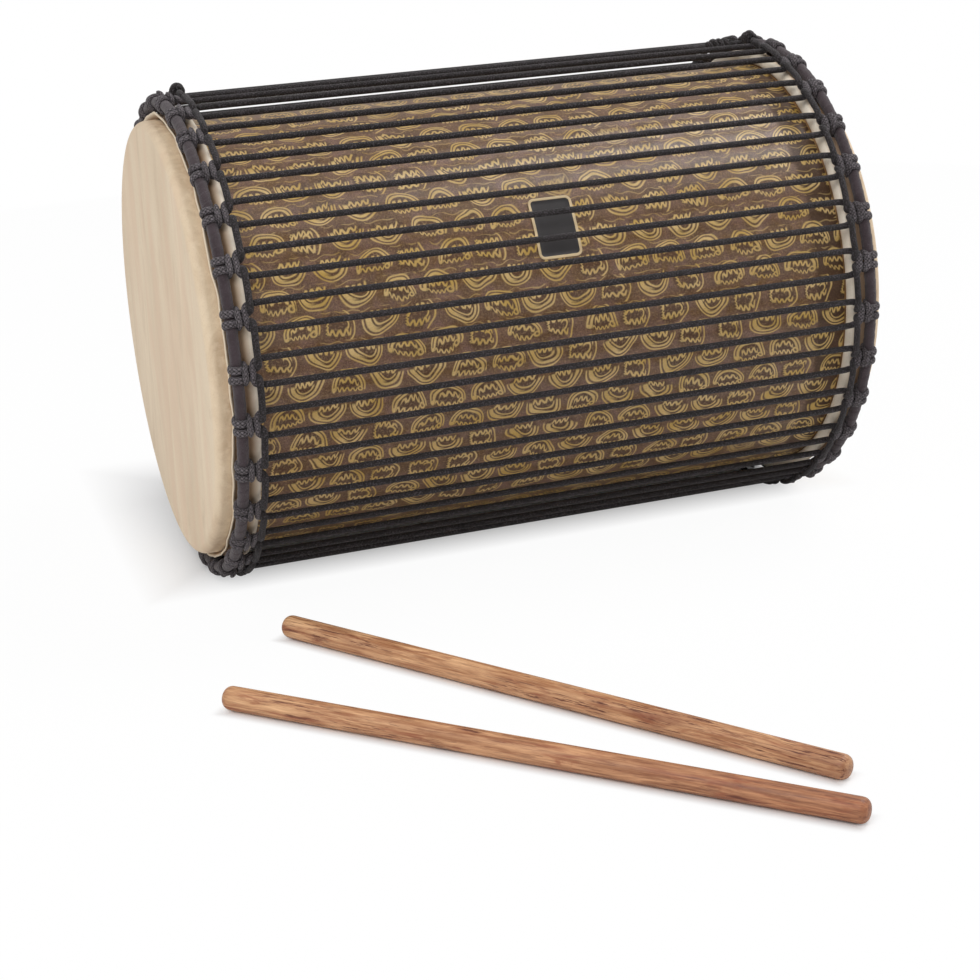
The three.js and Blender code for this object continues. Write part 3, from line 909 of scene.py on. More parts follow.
cradle_half = np.array(CRADLE_HALF_KNOT) * MM
run_end = np.array([PERIOD / 2, cradle_half[-1][1], cradle_half[-1][2]])
flat_knot = smooth_line(both_halves(np.concatenate([cradle_half, [run_end]])))
tension_half = np.array(TENSION_HALF_TURN) * MM
turn_end = np.array([[PERIOD / 4, TENSION_TURN_END, TENSION_OUT]])
flat_turn = smooth_line(both_halves(np.concatenate([tension_half, turn_end])))
print("one knot has", len(flat_knot), "points, and one turn", len(flat_turn))

# %% [markdown]
# The rope is a soft braid over a core, about five millimetres thick, in charcoal with a hint of
# violet. Its strands cross on the slant, six each way round it, so the weave group is fed with two
# slanted counts, and painted shade darkens the gaps between the strands. Where the rope is pulled
# tight in a knot it flattens and its pale fibres show, and the knot is also painted much lighter as
# a highlight, so each point carries how much it is pressed, for the section and for the colour.

# %% Rope material
BRAID_STRANDS = 6
BRAID_PITCH = 2.8 * MM


def rope_material():
    material, tree, shader = new_material("braided_rope", 0.8, Specular_IOR_Level=0.3, Sheen_Weight=0.08)
    around, along = wrap_place(tree)
    slant_a = around * BRAID_STRANDS + along / BRAID_PITCH
    slant_b = around * BRAID_STRANDS - along / BRAID_PITCH
    braid = use_group(tree, weave, across=slant_a, along=slant_b)
    cloudy = use_group(tree, mottle, vector=object_place(tree), scale=40.0, contrast=1.0)
    pressed_node = add_node(tree, "ShaderNodeAttribute", attribute_name="pressed")
    pressed = Field(tree, pressed_node.outputs["Fac"])
    # The knots' lighter tones are partly pale fibres and partly a painted highlight.
    dark_tone = mix_colour(tree, pressed, linear(20, 15, 13), linear(72, 65, 66))
    light_tone = mix_colour(tree, pressed, linear(43, 37, 36), linear(122, 115, 118))
    base = mix_colour(tree, cloudy["Cloud"], dark_tone, light_tone)
    base = mix_colour(tree, braid["Over"] * 0.4, base, linear(30, 25, 26))
    # Painted shade: the braid's low gaps between strands are darkened.
    base = mix_colour(tree, braid["Height"].ramp(0.3, 0.9), linear(14, 10, 10), base)
    fibre = cloudy["Speck"].ramp(0.55, 0.8) * pressed.ramp(0.0, 1.0, 0.25, 0.45)
    base = mix_colour(tree, fibre, base, linear(122, 114, 122))
    feed(tree, base, shader.inputs["Base Color"])
    bump(tree, shader, braid["Height"], 0.5 * MM, 0.8)
    return material


rope = rope_material()
print("rope nodes", len(rope.node_tree.nodes))

# %% [markdown]
# A tube along a bent line needs a direction across the line at every point. Worked out afresh at
# each point, that direction can flip and wring the tube. Here it is carried along from point to
# point, and only leans towards the hoop that the rope lies on, so a pressed section turns its flat
# side to the hoop.

# %% Directions along a rope
LEAST_LEAN = 0.2
LEAN = 0.4


def from_crown(points):
    """The direction from a crown hoop's middle line to each point, its length, and straight out."""
    local = points - np.array(DRUM_CENTRE)
    radial = unit(local * np.array([0, 1, 1]))
    hoop = radial * CROWN_RADIUS
    hoop[:, 0] = np.sign(local[:, 0]) * CROWN_X
    away = local - hoop
    distance = np.linalg.norm(away, axis=1, keepdims=True)
    return away / distance, distance, radial


def square_to(direction, vector):
    """The part of a vector that is square to a direction."""
    return vector - direction * vector.dot(direction)


def carried_normals(tangent, start, hints):
    """A direction square to the rope at each point, carried along and leaning towards the hints."""
    normal = np.cross(tangent[0], start)
    normals = []
    for direction, hint in zip(tangent, hints):
        normal = unit(square_to(direction, normal))
        wanted = square_to(direction, hint)
        reach = np.linalg.norm(wanted)
        if reach > LEAST_LEAN:
            wanted = wanted / reach
            wanted = wanted if wanted.dot(normal) > 0 else -wanted
            normal = unit(normal * (1 - LEAN) + wanted * LEAN)
        normals.append(normal)
    return np.array(normals)


print("a rope's flat side turns", LEAN, "of the way to its hoop at each point")

# %% Rope sections
ROPE_SIDES = 14
KNOT_WIDE = 6.0 * MM
KNOT_THIN = 3.5 * MM
RUN_WIDE = 5.4 * MM
RUN_THIN = 4.5 * MM
HOOP_REACH = 14 * MM
HOOP_FADE = 5 * MM
ROPE_START = (0.3, 0.5, 0.8)


def oval_rings(points, tangent, normals, wide, thin):
    """Oval sections along a rope, thin along its normals."""
    angle = full_turn(ROPE_SIDES)[None, :]
    outward = (np.cos(angle) * thin[:, None] / 2)[:, :, None] * normals[:, None, :]
    binormals = np.cross(tangent, normals)
    sideways = (np.sin(angle) * wide[:, None] / 2)[:, :, None] * binormals[:, None, :]
    return points[:, None, :] + outward + sideways


def rope_rings(points, wide, thin):
    """Sections along a rope, pressed flat towards the hoop that they lie against and the floor."""
    tangent = tangents(points)
    away, distance, radial = from_crown(points)
    close = np.clip((HOOP_REACH - distance) / HOOP_FADE, 0, 1)
    hints = radial * (1 - close) + away * close
    normals = carried_normals(tangent, ROPE_START, hints)
    rings = oval_rings(points, tangent, normals, wide, thin)
    rings[:, :, 2] = np.maximum(rings[:, :, 2], 0.0)
    return rings


def make_rope(name, points, in_knot, loose_wide, loose_thin):
    """A rope that changes from its loose section to the pressed one where it is in a knot."""
    wide = loose_wide + (KNOT_WIDE - loose_wide) * in_knot
    thin = loose_thin + (KNOT_THIN - loose_thin) * in_knot
    around = np.linspace(0, 1, ROPE_SIDES + 1)
    piece = loft(name, rope_rings(points, wide, thin), rope, around, way_along(points))
    pressed = piece.data.attributes.new("pressed", "FLOAT", "POINT")
    pressed.data.foreach_set("value", np.repeat(in_knot, ROPE_SIDES).astype(np.float32))
    return piece


print("rope sections with", ROPE_SIDES, "sides")

# %% [markdown]
# The flat knot now goes round the drum thirty times on each side. No two hand-tied knots sit quite
# alike, so each one is moved along the hoop by up to a millimetre and slanted a little, and the
# ropes between follow. The knots under the drum sag to the floor that it stands on.

# %% Lay a flat shape on a hoop
KNOT_WANDER = 0.9 * MM
KNOT_SLANT = 0.09
KNOT_SEEDS = {"left": 4, "right": 9}
FLOOR_SAG = 2.4 * MM
SAG_SHARPNESS = 24
SAG_OUT = 6 * MM

hand_tied = {
    side: np.random.default_rng(seed).uniform(-1, 1, (KNOTS, 2)) for side, seed in KNOT_SEEDS.items()
}


def lay_flat(side, index, flat):
    """A flat shape's points, laid on one knot's place on a crown hoop."""
    end = ENDS[side]
    along, inboard, out = flat.T
    near = np.cos(np.clip(along / PERIOD, -0.5, 0.5) * np.pi) ** 2
    wander, slant = hand_tied[side][index % KNOTS]
    knot_angle = end["phase"] + index * KNOT_STEP
    angle = knot_angle + (along + KNOT_WANDER * wander * near) / CROWN_RADIUS
    inboard = inboard + KNOT_SLANT * slant * along * near
    underneath = np.maximum(-np.cos(knot_angle), 0) ** SAG_SHARPNESS
    sag = FLOOR_SAG * underneath * np.clip(out / SAG_OUT, 0, 1)
    return round_drum(end["sign"] * (CROWN_X - inboard), CROWN_RADIUS + out + sag, angle)


first_shift = KNOT_WANDER / MM * float(hand_tied["left"][0, 0])
print("the first knot on the left is moved by", round(first_shift, 2), "mm")

# %% [markdown]
# Each cradle rope is one length that makes all thirty knots of its hoop and comes back to where it
# began, with its two ends in a tie at the top. The flat knots already end where the next ones begin,
# so they are laid one after another, and only the places inside the tie are left out.

# %% The two cradle ropes
KNOT_REACH = 15 * MM
KNOT_FADE = 3 * MM
TIE_KNOT = 29
CRADLE_TIE_LENGTH = 13 * MM


def cradle_route(side):
    """A cradle rope from one side of its tie round the hoop to the other."""
    reach = CRADLE_TIE_LENGTH / 2 + SEAT_GAP
    inside = np.abs(flat_knot[:, 0]) < PERIOD / 2 - reach
    last_place = np.array([[PERIOD / 2 - reach, run_end[1], run_end[2]]])
    first_place = last_place * np.array([-1, 1, 1])
    laid = []
    for i in range(1, KNOTS + 1):
        knot = flat_knot[:-1]
        if i == 1:
            knot = np.concatenate([first_place, knot[inside[:-1] | (knot[:, 0] > 0)]])
        if i == KNOTS:
            knot = np.concatenate([knot[inside[:-1] | (knot[:, 0] < 0)], last_place])
        laid.append(lay_flat(side, TIE_KNOT + i, knot))
    return np.concatenate(laid)


for side in ENDS:
    route = cradle_route(side)
    _, distance, _ = from_crown(route)
    in_knot = np.clip((KNOT_REACH - distance[:, 0]) / KNOT_FADE, 0, 1)
    cradle = make_rope(f"{side}_cradle", route, in_knot, RUN_WIDE, RUN_THIN)
    finish_piece(cradle, "drum", "rope", f"{side}_cradle_rope")
    print(side, "cradle rope", round(float(way_along(route)[-1]), 2), "m long")

# %% [markdown]
# One long rope goes to and fro between the hoops. At each knot it turns back under the cradle rope,
# and from one turn to the next it is drawn straight. So its line is the flat turn laid at each knot,
# left and right by turns, with an even row of points between two turns. It starts and ends at its
# tie, which lies along the drum at the top.

# %% The tension rope
TENSION_TIE_LENGTH = 26 * MM
TENSION_TIE_ALONG = 223 * MM
STRAIGHT_STEPS = 16
TURN_REACH = 19 * MM
TURN_FADE = 6 * MM
tension_tie_angle = KNOT_PHASE + (TIE_KNOT + 1) * KNOT_STEP - KNOT_STEP / 4


def tension_route():
    """The rope's points, and how much of a knot each one is in."""
    reach = TENSION_TIE_LENGTH / 2 + SEAT_GAP
    out = CROWN_RADIUS + TENSION_OUT
    first = round_drum(TENSION_TIE_ALONG - reach, out, tension_tie_angle)
    last = round_drum(TENSION_TIE_ALONG + reach, out, tension_tie_angle)
    along_stretch = np.linspace(0, 1, STRAIGHT_STEPS)[1:, None]
    in_turn = np.clip((TURN_REACH - flat_turn[:, 1]) / TURN_FADE, 0, 1)
    points = [first[None, :]]
    shares = [np.zeros(1)]
    for i in range(1, KNOTS + 1):
        for side in ENDS:
            turn = lay_flat(side, TIE_KNOT + i, flat_turn)
            before = points[-1][-1]
            points.append(before + (turn[0] - before) * along_stretch[:-1])
            shares.append(np.zeros(STRAIGHT_STEPS - 2))
            points.append(turn)
            shares.append(in_turn)
    before = points[-1][-1]
    points.append(before + (last - before) * along_stretch)
    shares.append(np.zeros(STRAIGHT_STEPS - 1))
    return np.concatenate(points), np.concatenate(shares)


route, share = tension_route()
tension = make_rope("tension_rope_braided", route, share, ROPE, ROPE)
finish_piece(tension, "drum", "rope", "tension_rope")
print("tension rope", round(float(way_along(route)[-1]), 2), "m long")

# %% [markdown]
# Every rope's ends meet at the top of the drum. Each is joined with a barrel knot, a few turns of the
# same rope wound round the two ends. The turns are a coil round a straight line, whose ends are
# tucked in to the rope. The tension rope's coil lies along the drum, and the cradle ropes' along
# their hoops.

# %% Coils
COIL_STEPS = 18
COIL_TUCK = 0.45
COIL_START = (0.2, 0.9, 0.4)
TENSION_TIE = 12 * MM
TENSION_TIE_TURNS = 4
CRADLE_TIE = 12.5 * MM
CRADLE_TIE_TURNS = 2
CRADLE_TIE_LIFT = 1.5 * MM
CRADLE_TIE_ENDS = 0.6 * ROPE


def coil_points(centre, axis, out, length, radius, turns):
    """A helix round a straight line, with its ends tucked in."""
    axis = unit(axis)
    across = np.cross(axis, out)
    share = np.linspace(0, 1, turns * COIL_STEPS + 1)
    angle = share * turns * 2 * np.pi
    full = np.clip(np.minimum(share, 1 - share) * turns * 3, 0, 1)
    reach = radius * (COIL_TUCK + (1 - COIL_TUCK) * full)
    return (
        centre
        + axis * ((share - 0.5) * length)[:, None]
        + out * (np.cos(angle) * reach)[:, None]
        + across * (np.sin(angle) * reach)[:, None]
    )


def make_tie(name, node, points):
    """A barrel knot: a round rope along a coil, with its section carried along unturned."""
    tangent = tangents(points)
    no_hints = np.zeros_like(points)
    normals = carried_normals(tangent, COIL_START, no_hints)
    thickness = np.full(len(points), ROPE)
    rings = oval_rings(points, tangent, normals, thickness, thickness)
    around = np.linspace(0, 1, ROPE_SIDES + 1)
    tie = loft(name, rings, rope, around, way_along(points))
    finish_piece(tie, "drum", "rope", node)


def straight_out(angle):
    """The direction out from the drum's axis at an angle."""
    return round_drum(0.0, 1.0, angle) - np.array(DRUM_CENTRE)


print("coils have", COIL_STEPS, "steps in a turn")

# %% Make the three ties
tie_place = round_drum(TENSION_TIE_ALONG, CROWN_RADIUS + TENSION_OUT, tension_tie_angle)
drum_way = np.array([1.0, 0, 0])
coil_length = TENSION_TIE_LENGTH - ROPE
coil_radius = (TENSION_TIE - ROPE) / 2
outward = straight_out(tension_tie_angle)
coil = coil_points(tie_place, drum_way, outward, coil_length, coil_radius, TENSION_TIE_TURNS)
make_tie("tension_barrel_knot", "tension_tie", coil)

coil_length = CRADLE_TIE_LENGTH - CRADLE_TIE_ENDS
coil_radius = (CRADLE_TIE - ROPE) / 2
_, inboard, out = run_end
for side, end in ENDS.items():
    tie_angle = end["phase"] + TIE_KNOT * KNOT_STEP + KNOT_STEP / 2
    tie_x = end["sign"] * (CROWN_X - inboard)
    tie_place = round_drum(tie_x, CROWN_RADIUS + out + CRADLE_TIE_LIFT, tie_angle)
    outward = straight_out(tie_angle)
    along_hoop = np.cross(outward, drum_way)
    coil = coil_points(tie_place, along_hoop, outward, coil_length, coil_radius, CRADLE_TIE_TURNS)
    make_tie(f"{side}_barrel_knot", f"{side}_cradle_tie", coil)

# %% [markdown]
# The shell wears a cotton cover with a block-printed look: ochre bowls, arches and toothed shapes on
# brown, each with a rounded zigzag in it, under satin lacquer. The print is drawn by formulas in the
# cover's own millimetres. The cover is cut into cells, every second row moved by half a cell, and a
# random number for each cell picks its motif and shifts it a little. Noise bends the lines, as a
# hand-cut block would, and thins the ink here and there. The ground is darker inside a motif, and a
# band along the cover's right end is darker and rougher.

# %% Lines of the print
THIN_LINE = 0.6
INK_LINE = 0.9
SOFT = 0.35


def wave_line(across, level, period, rise, line):
    """A rounded zigzag: a sine line whose thickness stays even on its steep parts."""
    turn = across * (2 * math.pi / period)
    slope = turn.math("COSINE") * (rise * 2 * math.pi / period)
    even = (slope * slope + 1.0).math("SQRT")
    return ((level - turn.math("SINE") * rise) / even).band(line, SOFT)


print("printed lines are", 2 * THIN_LINE, "and", 2 * INK_LINE, "mm wide")

# %% Motifs of the print
def bowl_motif(across, up):
    """A bowl of two lines with a thick lip, a curl on its right, and teeth inside and on top."""
    radius = across.length(up - 3.0)
    outer = (radius - 13.2).band(THIN_LINE, SOFT) * up.below(5.4, 0.8)
    inner = (radius - 10.7).band(INK_LINE, SOFT) * up.below(4.6, 0.8)
    lip = (across + 11.8).length(up - 4.8).below(1.7, 0.4)
    curl = ((across - 9.4).length(up - 4.6) - 1.8).band(0.7, SOFT)
    teeth_up = up + 1.6 - across * across * 0.04
    teeth = wave_line(across, teeth_up, 5.0, 1.5, INK_LINE) * across.band(7.6, 0.5)
    top_up = up - 6.6 + across * across * 0.02
    top = wave_line(across, top_up, 3.9, 1.1, THIN_LINE) * (across + 1.0).band(9.0, 0.5)
    inside = radius.below(12.0, 1.5) * up.below(7.0, 1.0)
    return outer.either(inner, lip, curl, teeth, top), inside


def arch_motif(across, up):
    """Arcs that spread from a thick left tip and close to the right, over teeth."""
    radius = across.length(up + 4.6)
    rising = (up + 4.2).above(0.0, 0.8)
    outer = (radius - 14.0).band(THIN_LINE, SOFT) * rising
    middle = (radius - 11.2).band(INK_LINE, SOFT) * rising
    inner = ((across - 0.8).length(up + 4.6) - 7.6).band(THIN_LINE, SOFT) * (up + 2.6).above(0.0, 0.8)
    tip = radius.below(11.2, SOFT) * radius.above(8.8, SOFT) * (across + 2.4).below(0.0, 3.0) * rising
    teeth_up = up + 4.2 + across * across * 0.02
    teeth = wave_line(across, teeth_up, 4.8, 1.4, INK_LINE) * across.band(8.4, 0.5)
    inside = radius.below(12.4, 1.5) * (up + 8.0).above(0.0, 1.0)
    return outer.either(middle, inner, tip, teeth), inside


def toothed_motif(across, up):
    """Teeth above and below, closed by scallops on the left and by a plain arc on the right."""
    radius = (across + 2.6).length(up)
    top = wave_line(across, up - 5.8 + across * across * 0.02, 4.8, 1.3, INK_LINE)
    bottom = wave_line(across + 2.0, up + 5.2 - across * across * 0.02, 4.8, 1.4, INK_LINE)
    ends = (across + 1.4).band(9.4, 0.5)
    scallops = ((across + 11.4) - (up * 1.3).math("SINE").math("ABSOLUTE") * 1.6).band(THIN_LINE, SOFT)
    sides = scallops * up.band(6.4, 0.5)
    close = (radius - 14.0).band(THIN_LINE, SOFT) * (across - 4.0).above(0.0, 0.8)
    curl = ((across - 3.4).length(up * 0.8) - 2.8).band(THIN_LINE, SOFT)
    curl = curl * (across - up * 0.6).above(2.0, 0.8)
    inside = radius.below(11.0, 1.5)
    return (top.either(bottom) * ends).either(sides, close, curl), inside


print("three motifs ready: bowls, arches and toothed shapes")

# %% Cells of the print
PRINT_CELL = 32.0
PRINT_ROW = 22.0
PRINT_NUDGE = 3.0
PRINT_TILT = 0.3
BOWLS_TO = 0.4
ARCHES_TO = 0.76
SHARP = 0.001
BETWEEN_DROP = 10.6
BETWEEN_PERIOD = 16.0
BETWEEN_RISE = 1.0
BETWEEN_LINE = 0.4
BETWEEN_INK = 0.55


def print_masks(tree, along, around, bend_along, bend_around):
    """The motifs in their cells: a mask of the ink, and one of the ground inside a motif."""
    row_place = around / PRINT_ROW
    row = row_place.math("FLOOR")
    odd = row.math("MODULO", 2.0).math("ABSOLUTE")
    cell_place = along / PRINT_CELL + odd * 0.5
    cell = cell_place.math("FLOOR")
    choice_node = add_node(tree, "ShaderNodeTexWhiteNoise", vector=vector_of(tree, cell, row))
    choice = Field(tree, choice_node.outputs["Value"])
    nudge, tilt, _ = split(tree, choice_node.outputs["Color"])
    across = (cell_place.math("FRACT") - 0.5) * PRINT_CELL + (nudge - 0.5) * PRINT_NUDGE
    up = (row_place.math("FRACT") - 0.5) * PRINT_ROW + across * (tilt - 0.5) * PRINT_TILT
    across = across + bend_along
    up = up + bend_around
    is_bowl = choice.below(BOWLS_TO, SHARP)
    is_arch = choice.above(BOWLS_TO, SHARP) * choice.below(ARCHES_TO, SHARP)
    is_toothed = choice.above(ARCHES_TO, SHARP)
    bowl, in_bowl = bowl_motif(across, up)
    arch, in_arch = arch_motif(across, up)
    toothed, in_toothed = toothed_motif(across, up)
    ink = (bowl * is_bowl).either(arch * is_arch, toothed * is_toothed)
    inside = (in_bowl * is_bowl).either(in_arch * is_arch, in_toothed * is_toothed)
    between = wave_line(across, up + BETWEEN_DROP, BETWEEN_PERIOD, BETWEEN_RISE, BETWEEN_LINE)
    return ink.either(between * BETWEEN_INK), inside


print("a motif every", PRINT_CELL, "mm along the drum and", PRINT_ROW, "mm round it")

# %% [markdown]
# Ink on cloth is never even. A slow noise shifts its tint and a fine one wears it. The ground under
# it has patches, clouds, specks and pale grit. A thin clear coat gives the satin sheen of lacquer,
# and a shallow bump breaks its reflections up.

# %% Print material
PRINT_BEND = 7.0
BEND_SCALE = 0.06
RIGHT_BAND_FROM = 222.0


def print_material():
    material, tree, shader = new_material(
        "printed_cover", 0.42, Specular_IOR_Level=0.5, Coat_Weight=0.25, Coat_Roughness=0.3,
    )
    around, along = wrap_place(tree)
    place = vector_of(tree, along, around)
    moved = vector_of(tree, along + 300.0, around)
    bend_along = (noise(tree, place, BEND_SCALE, 0.0) - 0.5) * PRINT_BEND
    bend_around = (noise(tree, moved, BEND_SCALE, 0.0) - 0.5) * PRINT_BEND
    mask, inside = print_masks(tree, along, around, bend_along, bend_around)
    worn = noise(tree, place, 0.9, 4.0, 0.7).ramp(0.25, 0.5, 0.45, 1.0)
    tint = noise(tree, place, 0.035, 2.0).ramp(0.35, 0.65)
    ink = mix_colour(tree, tint, linear(220, 188, 126), linear(198, 161, 78))
    patches = noise(tree, place, 0.06, 3.0, 0.6, 0.5).ramp(0.36, 0.64)
    speckle = use_group(tree, mottle, vector=place, scale=0.05, contrast=1.2)
    grit = noise(tree, place, 0.55, 2.0, 0.6).ramp(0.5, 0.66)
    # A band along the cover's right end is made darker and rougher.
    right_end_band = (along - RIGHT_BAND_FROM).above(0.0, 2.0)
    ground = coats(
        tree,
        mix_colour(tree, patches, linear(114, 76, 24), linear(132, 96, 82)),
        (inside * 0.9, linear(84, 48, 9)),
        (speckle["Cloud"].ramp(0.35, 0.75) * 0.4, linear(76, 46, 14)),
        (speckle["Speck"].ramp(0.35, 0.65) * 0.6, linear(54, 32, 8)),
        (grit * 0.45, linear(163, 130, 90)),
        (right_end_band * 0.7, linear(58, 34, 12)),
    )
    feed(tree, mix_colour(tree, mask * worn, ground, ink), shader.inputs["Base Color"])
    orange_peel = noise(tree, place, 1.6, 3.0, 0.6)
    gloss = orange_peel.ramp(0.3, 0.7, 0.32, 0.54)
    feed(tree, gloss + right_end_band * 0.3, shader.inputs["Roughness"])
    bump(tree, shader, orange_peel + mask * 0.3, 0.12 * MM, 0.5)
    return material


print_finish = print_material()
print("print nodes", len(print_finish.node_tree.nodes))

# %% [markdown]
# The cover is a thin tube from the fold of one hide to the fold of the other. It could be a colour
# on the shell, but a sheet of its own has cut edges that show at its ends, and keeps the shell plain.

# %% Make the cover
COVER = 0.5 * MM
COVER_MARGIN = 0.4 * MM
COVER_STEPS = 360
COVER_ROWS = 40
CUT_EDGE = math.radians(40)


def make_cover():
    reach = FLESH_X - ROLL_RADIUS - SKIN / 2 - COVER_MARGIN
    inner = SHELL_RADIUS + SEAT_GAP
    x = np.linspace(-reach, reach, COVER_ROWS)
    outline_x = np.concatenate([x, x[::-1]])
    outline_radius = np.concatenate([np.full(COVER_ROWS, inner + COVER), np.full(COVER_ROWS, inner)])
    turn = full_turn(COVER_STEPS)[:, None]
    rings = round_drum(outline_x[None, :], outline_radius[None, :], turn)
    along_mm = np.append(outline_x, outline_x[0]) / MM
    around_mm = np.linspace(0, 2 * np.pi * SHELL_RADIUS, COVER_STEPS + 1) / MM
    # Each ring here is a section along the drum, so its two wrap values change places.
    faces, wrap = ring_faces(COVER_STEPS, len(outline_x), True, along_mm, around_mm)
    wrap = [(round_way, long_way) for long_way, round_way in wrap]
    cover = make_piece("cover_print", rings.reshape(-1, 3), faces, wrap, print_finish)
    edge = cover.modifiers.new("edge", "EDGE_SPLIT")
    edge.split_angle = CUT_EDGE
    finish_piece(cover, "drum", "printed_cover", "shell_cover")


make_cover()

# %% [markdown]
# A small bare plate sits on the cover under the ropes: a dark, slightly grained face inside a cream
# border, with rounded corners and a raised rim. Both finishes are the same satin paint in two tones,
# so one function makes them.

# %% Plate materials
def plate_material(name, light_tone, dark_tone, roughness):
    material, tree, shader = new_material(name, roughness, Specular_IOR_Level=0.5)
    spots = use_group(tree, mottle, vector=object_place(tree), scale=120.0, contrast=0.8)
    gloss = spots["Speck"].ramp(0.2, 0.8, roughness - 0.06, roughness + 0.1)
    feed(tree, mix_colour(tree, spots["Cloud"], dark_tone, light_tone), shader.inputs["Base Color"])
    feed(tree, gloss, shader.inputs["Roughness"])
    bump(tree, shader, spots["Speck"], 0.03 * MM, 0.5)
    return material


plate_face = plate_material("plate_face", linear(32, 26, 27), linear(23, 18, 19), 0.48)
plate_border = plate_material("plate_border", linear(228, 204, 162), linear(214, 188, 146), 0.45)
print("plate finishes", plate_face.name, plate_border.name)

# %% [markdown]
# The plate is bent to the shell. A flat box would stand off it at the corners, so the outline is
# drawn flat, moved in step by step for the rim, the border and the face, and each line is then laid
# round the drum at its own height.

# %% Make the plate
PLATE_LENGTH = 36 * MM
PLATE_HEIGHT = 50 * MM
PLATE_THICKNESS = 0.6 * MM
PLATE_ALONG = 6 * MM
PLATE_TURN = math.radians(58)
PLATE_CORNER = 5 * MM
PLATE_BORDER = 2 * MM
PLATE_EDGE = 0.12 * MM
PLATE_BEVEL = 0.15 * MM
LEAST_CORNER = 0.4 * MM
FACE_INSETS = (PLATE_BEVEL, 4 * MM, 9 * MM, 15 * MM)
CORNER_STEPS = 8
STRAIGHT_SIDE_STEPS = 12


def rounded_rectangle(inset):
    """Points of the plate's outline, moved in by inset, as (along, around) from its middle."""
    corner = max(PLATE_CORNER - inset, LEAST_CORNER)
    half_along = PLATE_LENGTH / 2 - inset - corner
    half_around = PLATE_HEIGHT / 2 - inset - corner
    bends = []
    for quarter_turn, (a, b) in enumerate(((1, 1), (-1, 1), (-1, -1), (1, -1))):
        angle = np.linspace(0, math.pi / 2, CORNER_STEPS) + quarter_turn * math.pi / 2
        middle = np.array([a * half_along, b * half_around])
        bends.append(middle + corner * np.stack([np.cos(angle), np.sin(angle)], axis=1))
    points = []
    for bend, after in zip(bends, bends[1:] + bends[:1]):
        points += [bend, np.linspace(bend[-1], after[0], STRAIGHT_SIDE_STEPS + 2)[1:-1]]
    return np.concatenate(points)


def make_plate():
    base = SHELL_RADIUS + 2 * SEAT_GAP + COVER
    top = base + PLATE_THICKNESS
    rim = [(0.0, base), (0.0, top - PLATE_EDGE), (PLATE_BEVEL, top), (PLATE_BORDER, top)]
    face = [(PLATE_BORDER + inset, top - PLATE_BEVEL) for inset in FACE_INSETS]
    rings = []
    for inset, radius in rim + face:
        outline = rounded_rectangle(inset)
        angle = PLATE_TURN - outline[:, 1] / base
        rings.append(round_drum(PLATE_ALONG + outline[:, 0], radius, angle))
    rings = np.array(rings)
    sides = rings.shape[1]
    around = np.linspace(0, 1, sides + 1)
    along = [inset for inset, _ in rim + face]
    plate = loft("bare_plate", rings, plate_border, around, along)
    plate.data.materials.append(plate_face)
    base_cap = len(plate.data.polygons) - 2
    for polygon in plate.data.polygons:
        on_face = polygon.index // sides >= len(rim) and polygon.index != base_cap
        polygon.material_index = int(on_face)
    finish_piece(plate, "drum", "plate", "blank_plate")


make_plate()

# %% [markdown]
# The sticks are turned from reddish hardwood, sanded round at both ends and oiled. Grain runs the
# whole length, in long streaks with dark pores gathered in clusters. The grain is solid: each point
# remembers where it was in the straight blank, so the streaks carry over the round ends. The second
# stick is cut from the same wood further on, and is darker towards its right end.

# %% Stick material
def stick_material():
    material, tree, shader = new_material("oiled_stick", 0.45, Specular_IOR_Level=0.4)
    blank = add_node(tree, "ShaderNodeAttribute", attribute_name="blank")
    place = blank.outputs["Vector"]
    place_x, place_y, _ = split(tree, place)
    lines = use_group(tree, grain, vector=place, stretch=0.06, scale=330.0)
    long_place = scaled(tree, place, (0.25, 1.0, 1.0))
    wide = use_group(tree, mottle, vector=long_place, scale=26.0, contrast=1.0)
    flame = noise(tree, scaled(tree, place, (0.16, 1.0, 1.0)), 110.0, 4.0, 0.65, 0.8).ramp(0.52, 0.68)
    dashes = noise(tree, scaled(tree, place, (0.07, 1.0, 1.0)), 620.0, 3.0, 0.7).ramp(0.53, 0.64)
    gather = noise(tree, scaled(tree, place, (0.3, 1.0, 1.0)), 48.0, 2.0)
    clusters = gather.ramp(0.42, 0.58, 0.35, 1.0)
    tip = place_x.math("ABSOLUTE").ramp(STICK_LENGTH / 2 - 8 * MM, STICK_LENGTH / 2 - 0.5 * MM)
    second_stick = place_y.ramp(0.02, 0.1, 0.12, 1.0)
    toward_right = place_x.ramp(-0.2, 0.22) * second_stick
    dark_wood = mix_colour(tree, toward_right, linear(152, 94, 56), linear(98, 49, 29))
    light_wood = mix_colour(tree, toward_right, linear(236, 188, 142), linear(196, 136, 97))
    base = coats(
        tree,
        mix_colour(tree, lines["Streak"].ramp(0.17, 0.83), dark_wood, light_wood),
        (wide["Cloud"] * 0.3, light_wood),
        (lines["Ring"] * 0.25, linear(150, 94, 58)),
        (flame * 0.75, linear(140, 70, 43)),
        (gather.ramp(0.56, 0.7) * 0.35, linear(120, 64, 44)),
        (dashes * clusters, linear(94, 46, 31)),
        (tip * 0.35, linear(132, 82, 56)),
    )
    feed(tree, base, shader.inputs["Base Color"])
    feed(tree, lines["Streak"].ramp(0.0, 1.0, 0.4, 0.52), shader.inputs["Roughness"])
    relief = lines["Pore"] * -0.7 + lines["Streak"] * 0.3
    bump(tree, shader, relief, 0.12 * MM, 0.7)
    return material


stick_wood = stick_material()
print("stick nodes", len(stick_wood.node_tree.nodes))

# %% [markdown]
# Each stick is a row of round sections with blunt ends, hardly uneven from the sanding. It is made
# straight, remembers that place for its grain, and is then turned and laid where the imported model
# has it. Half balls would be simpler ends, but sanded sticks are flatter at the tip.

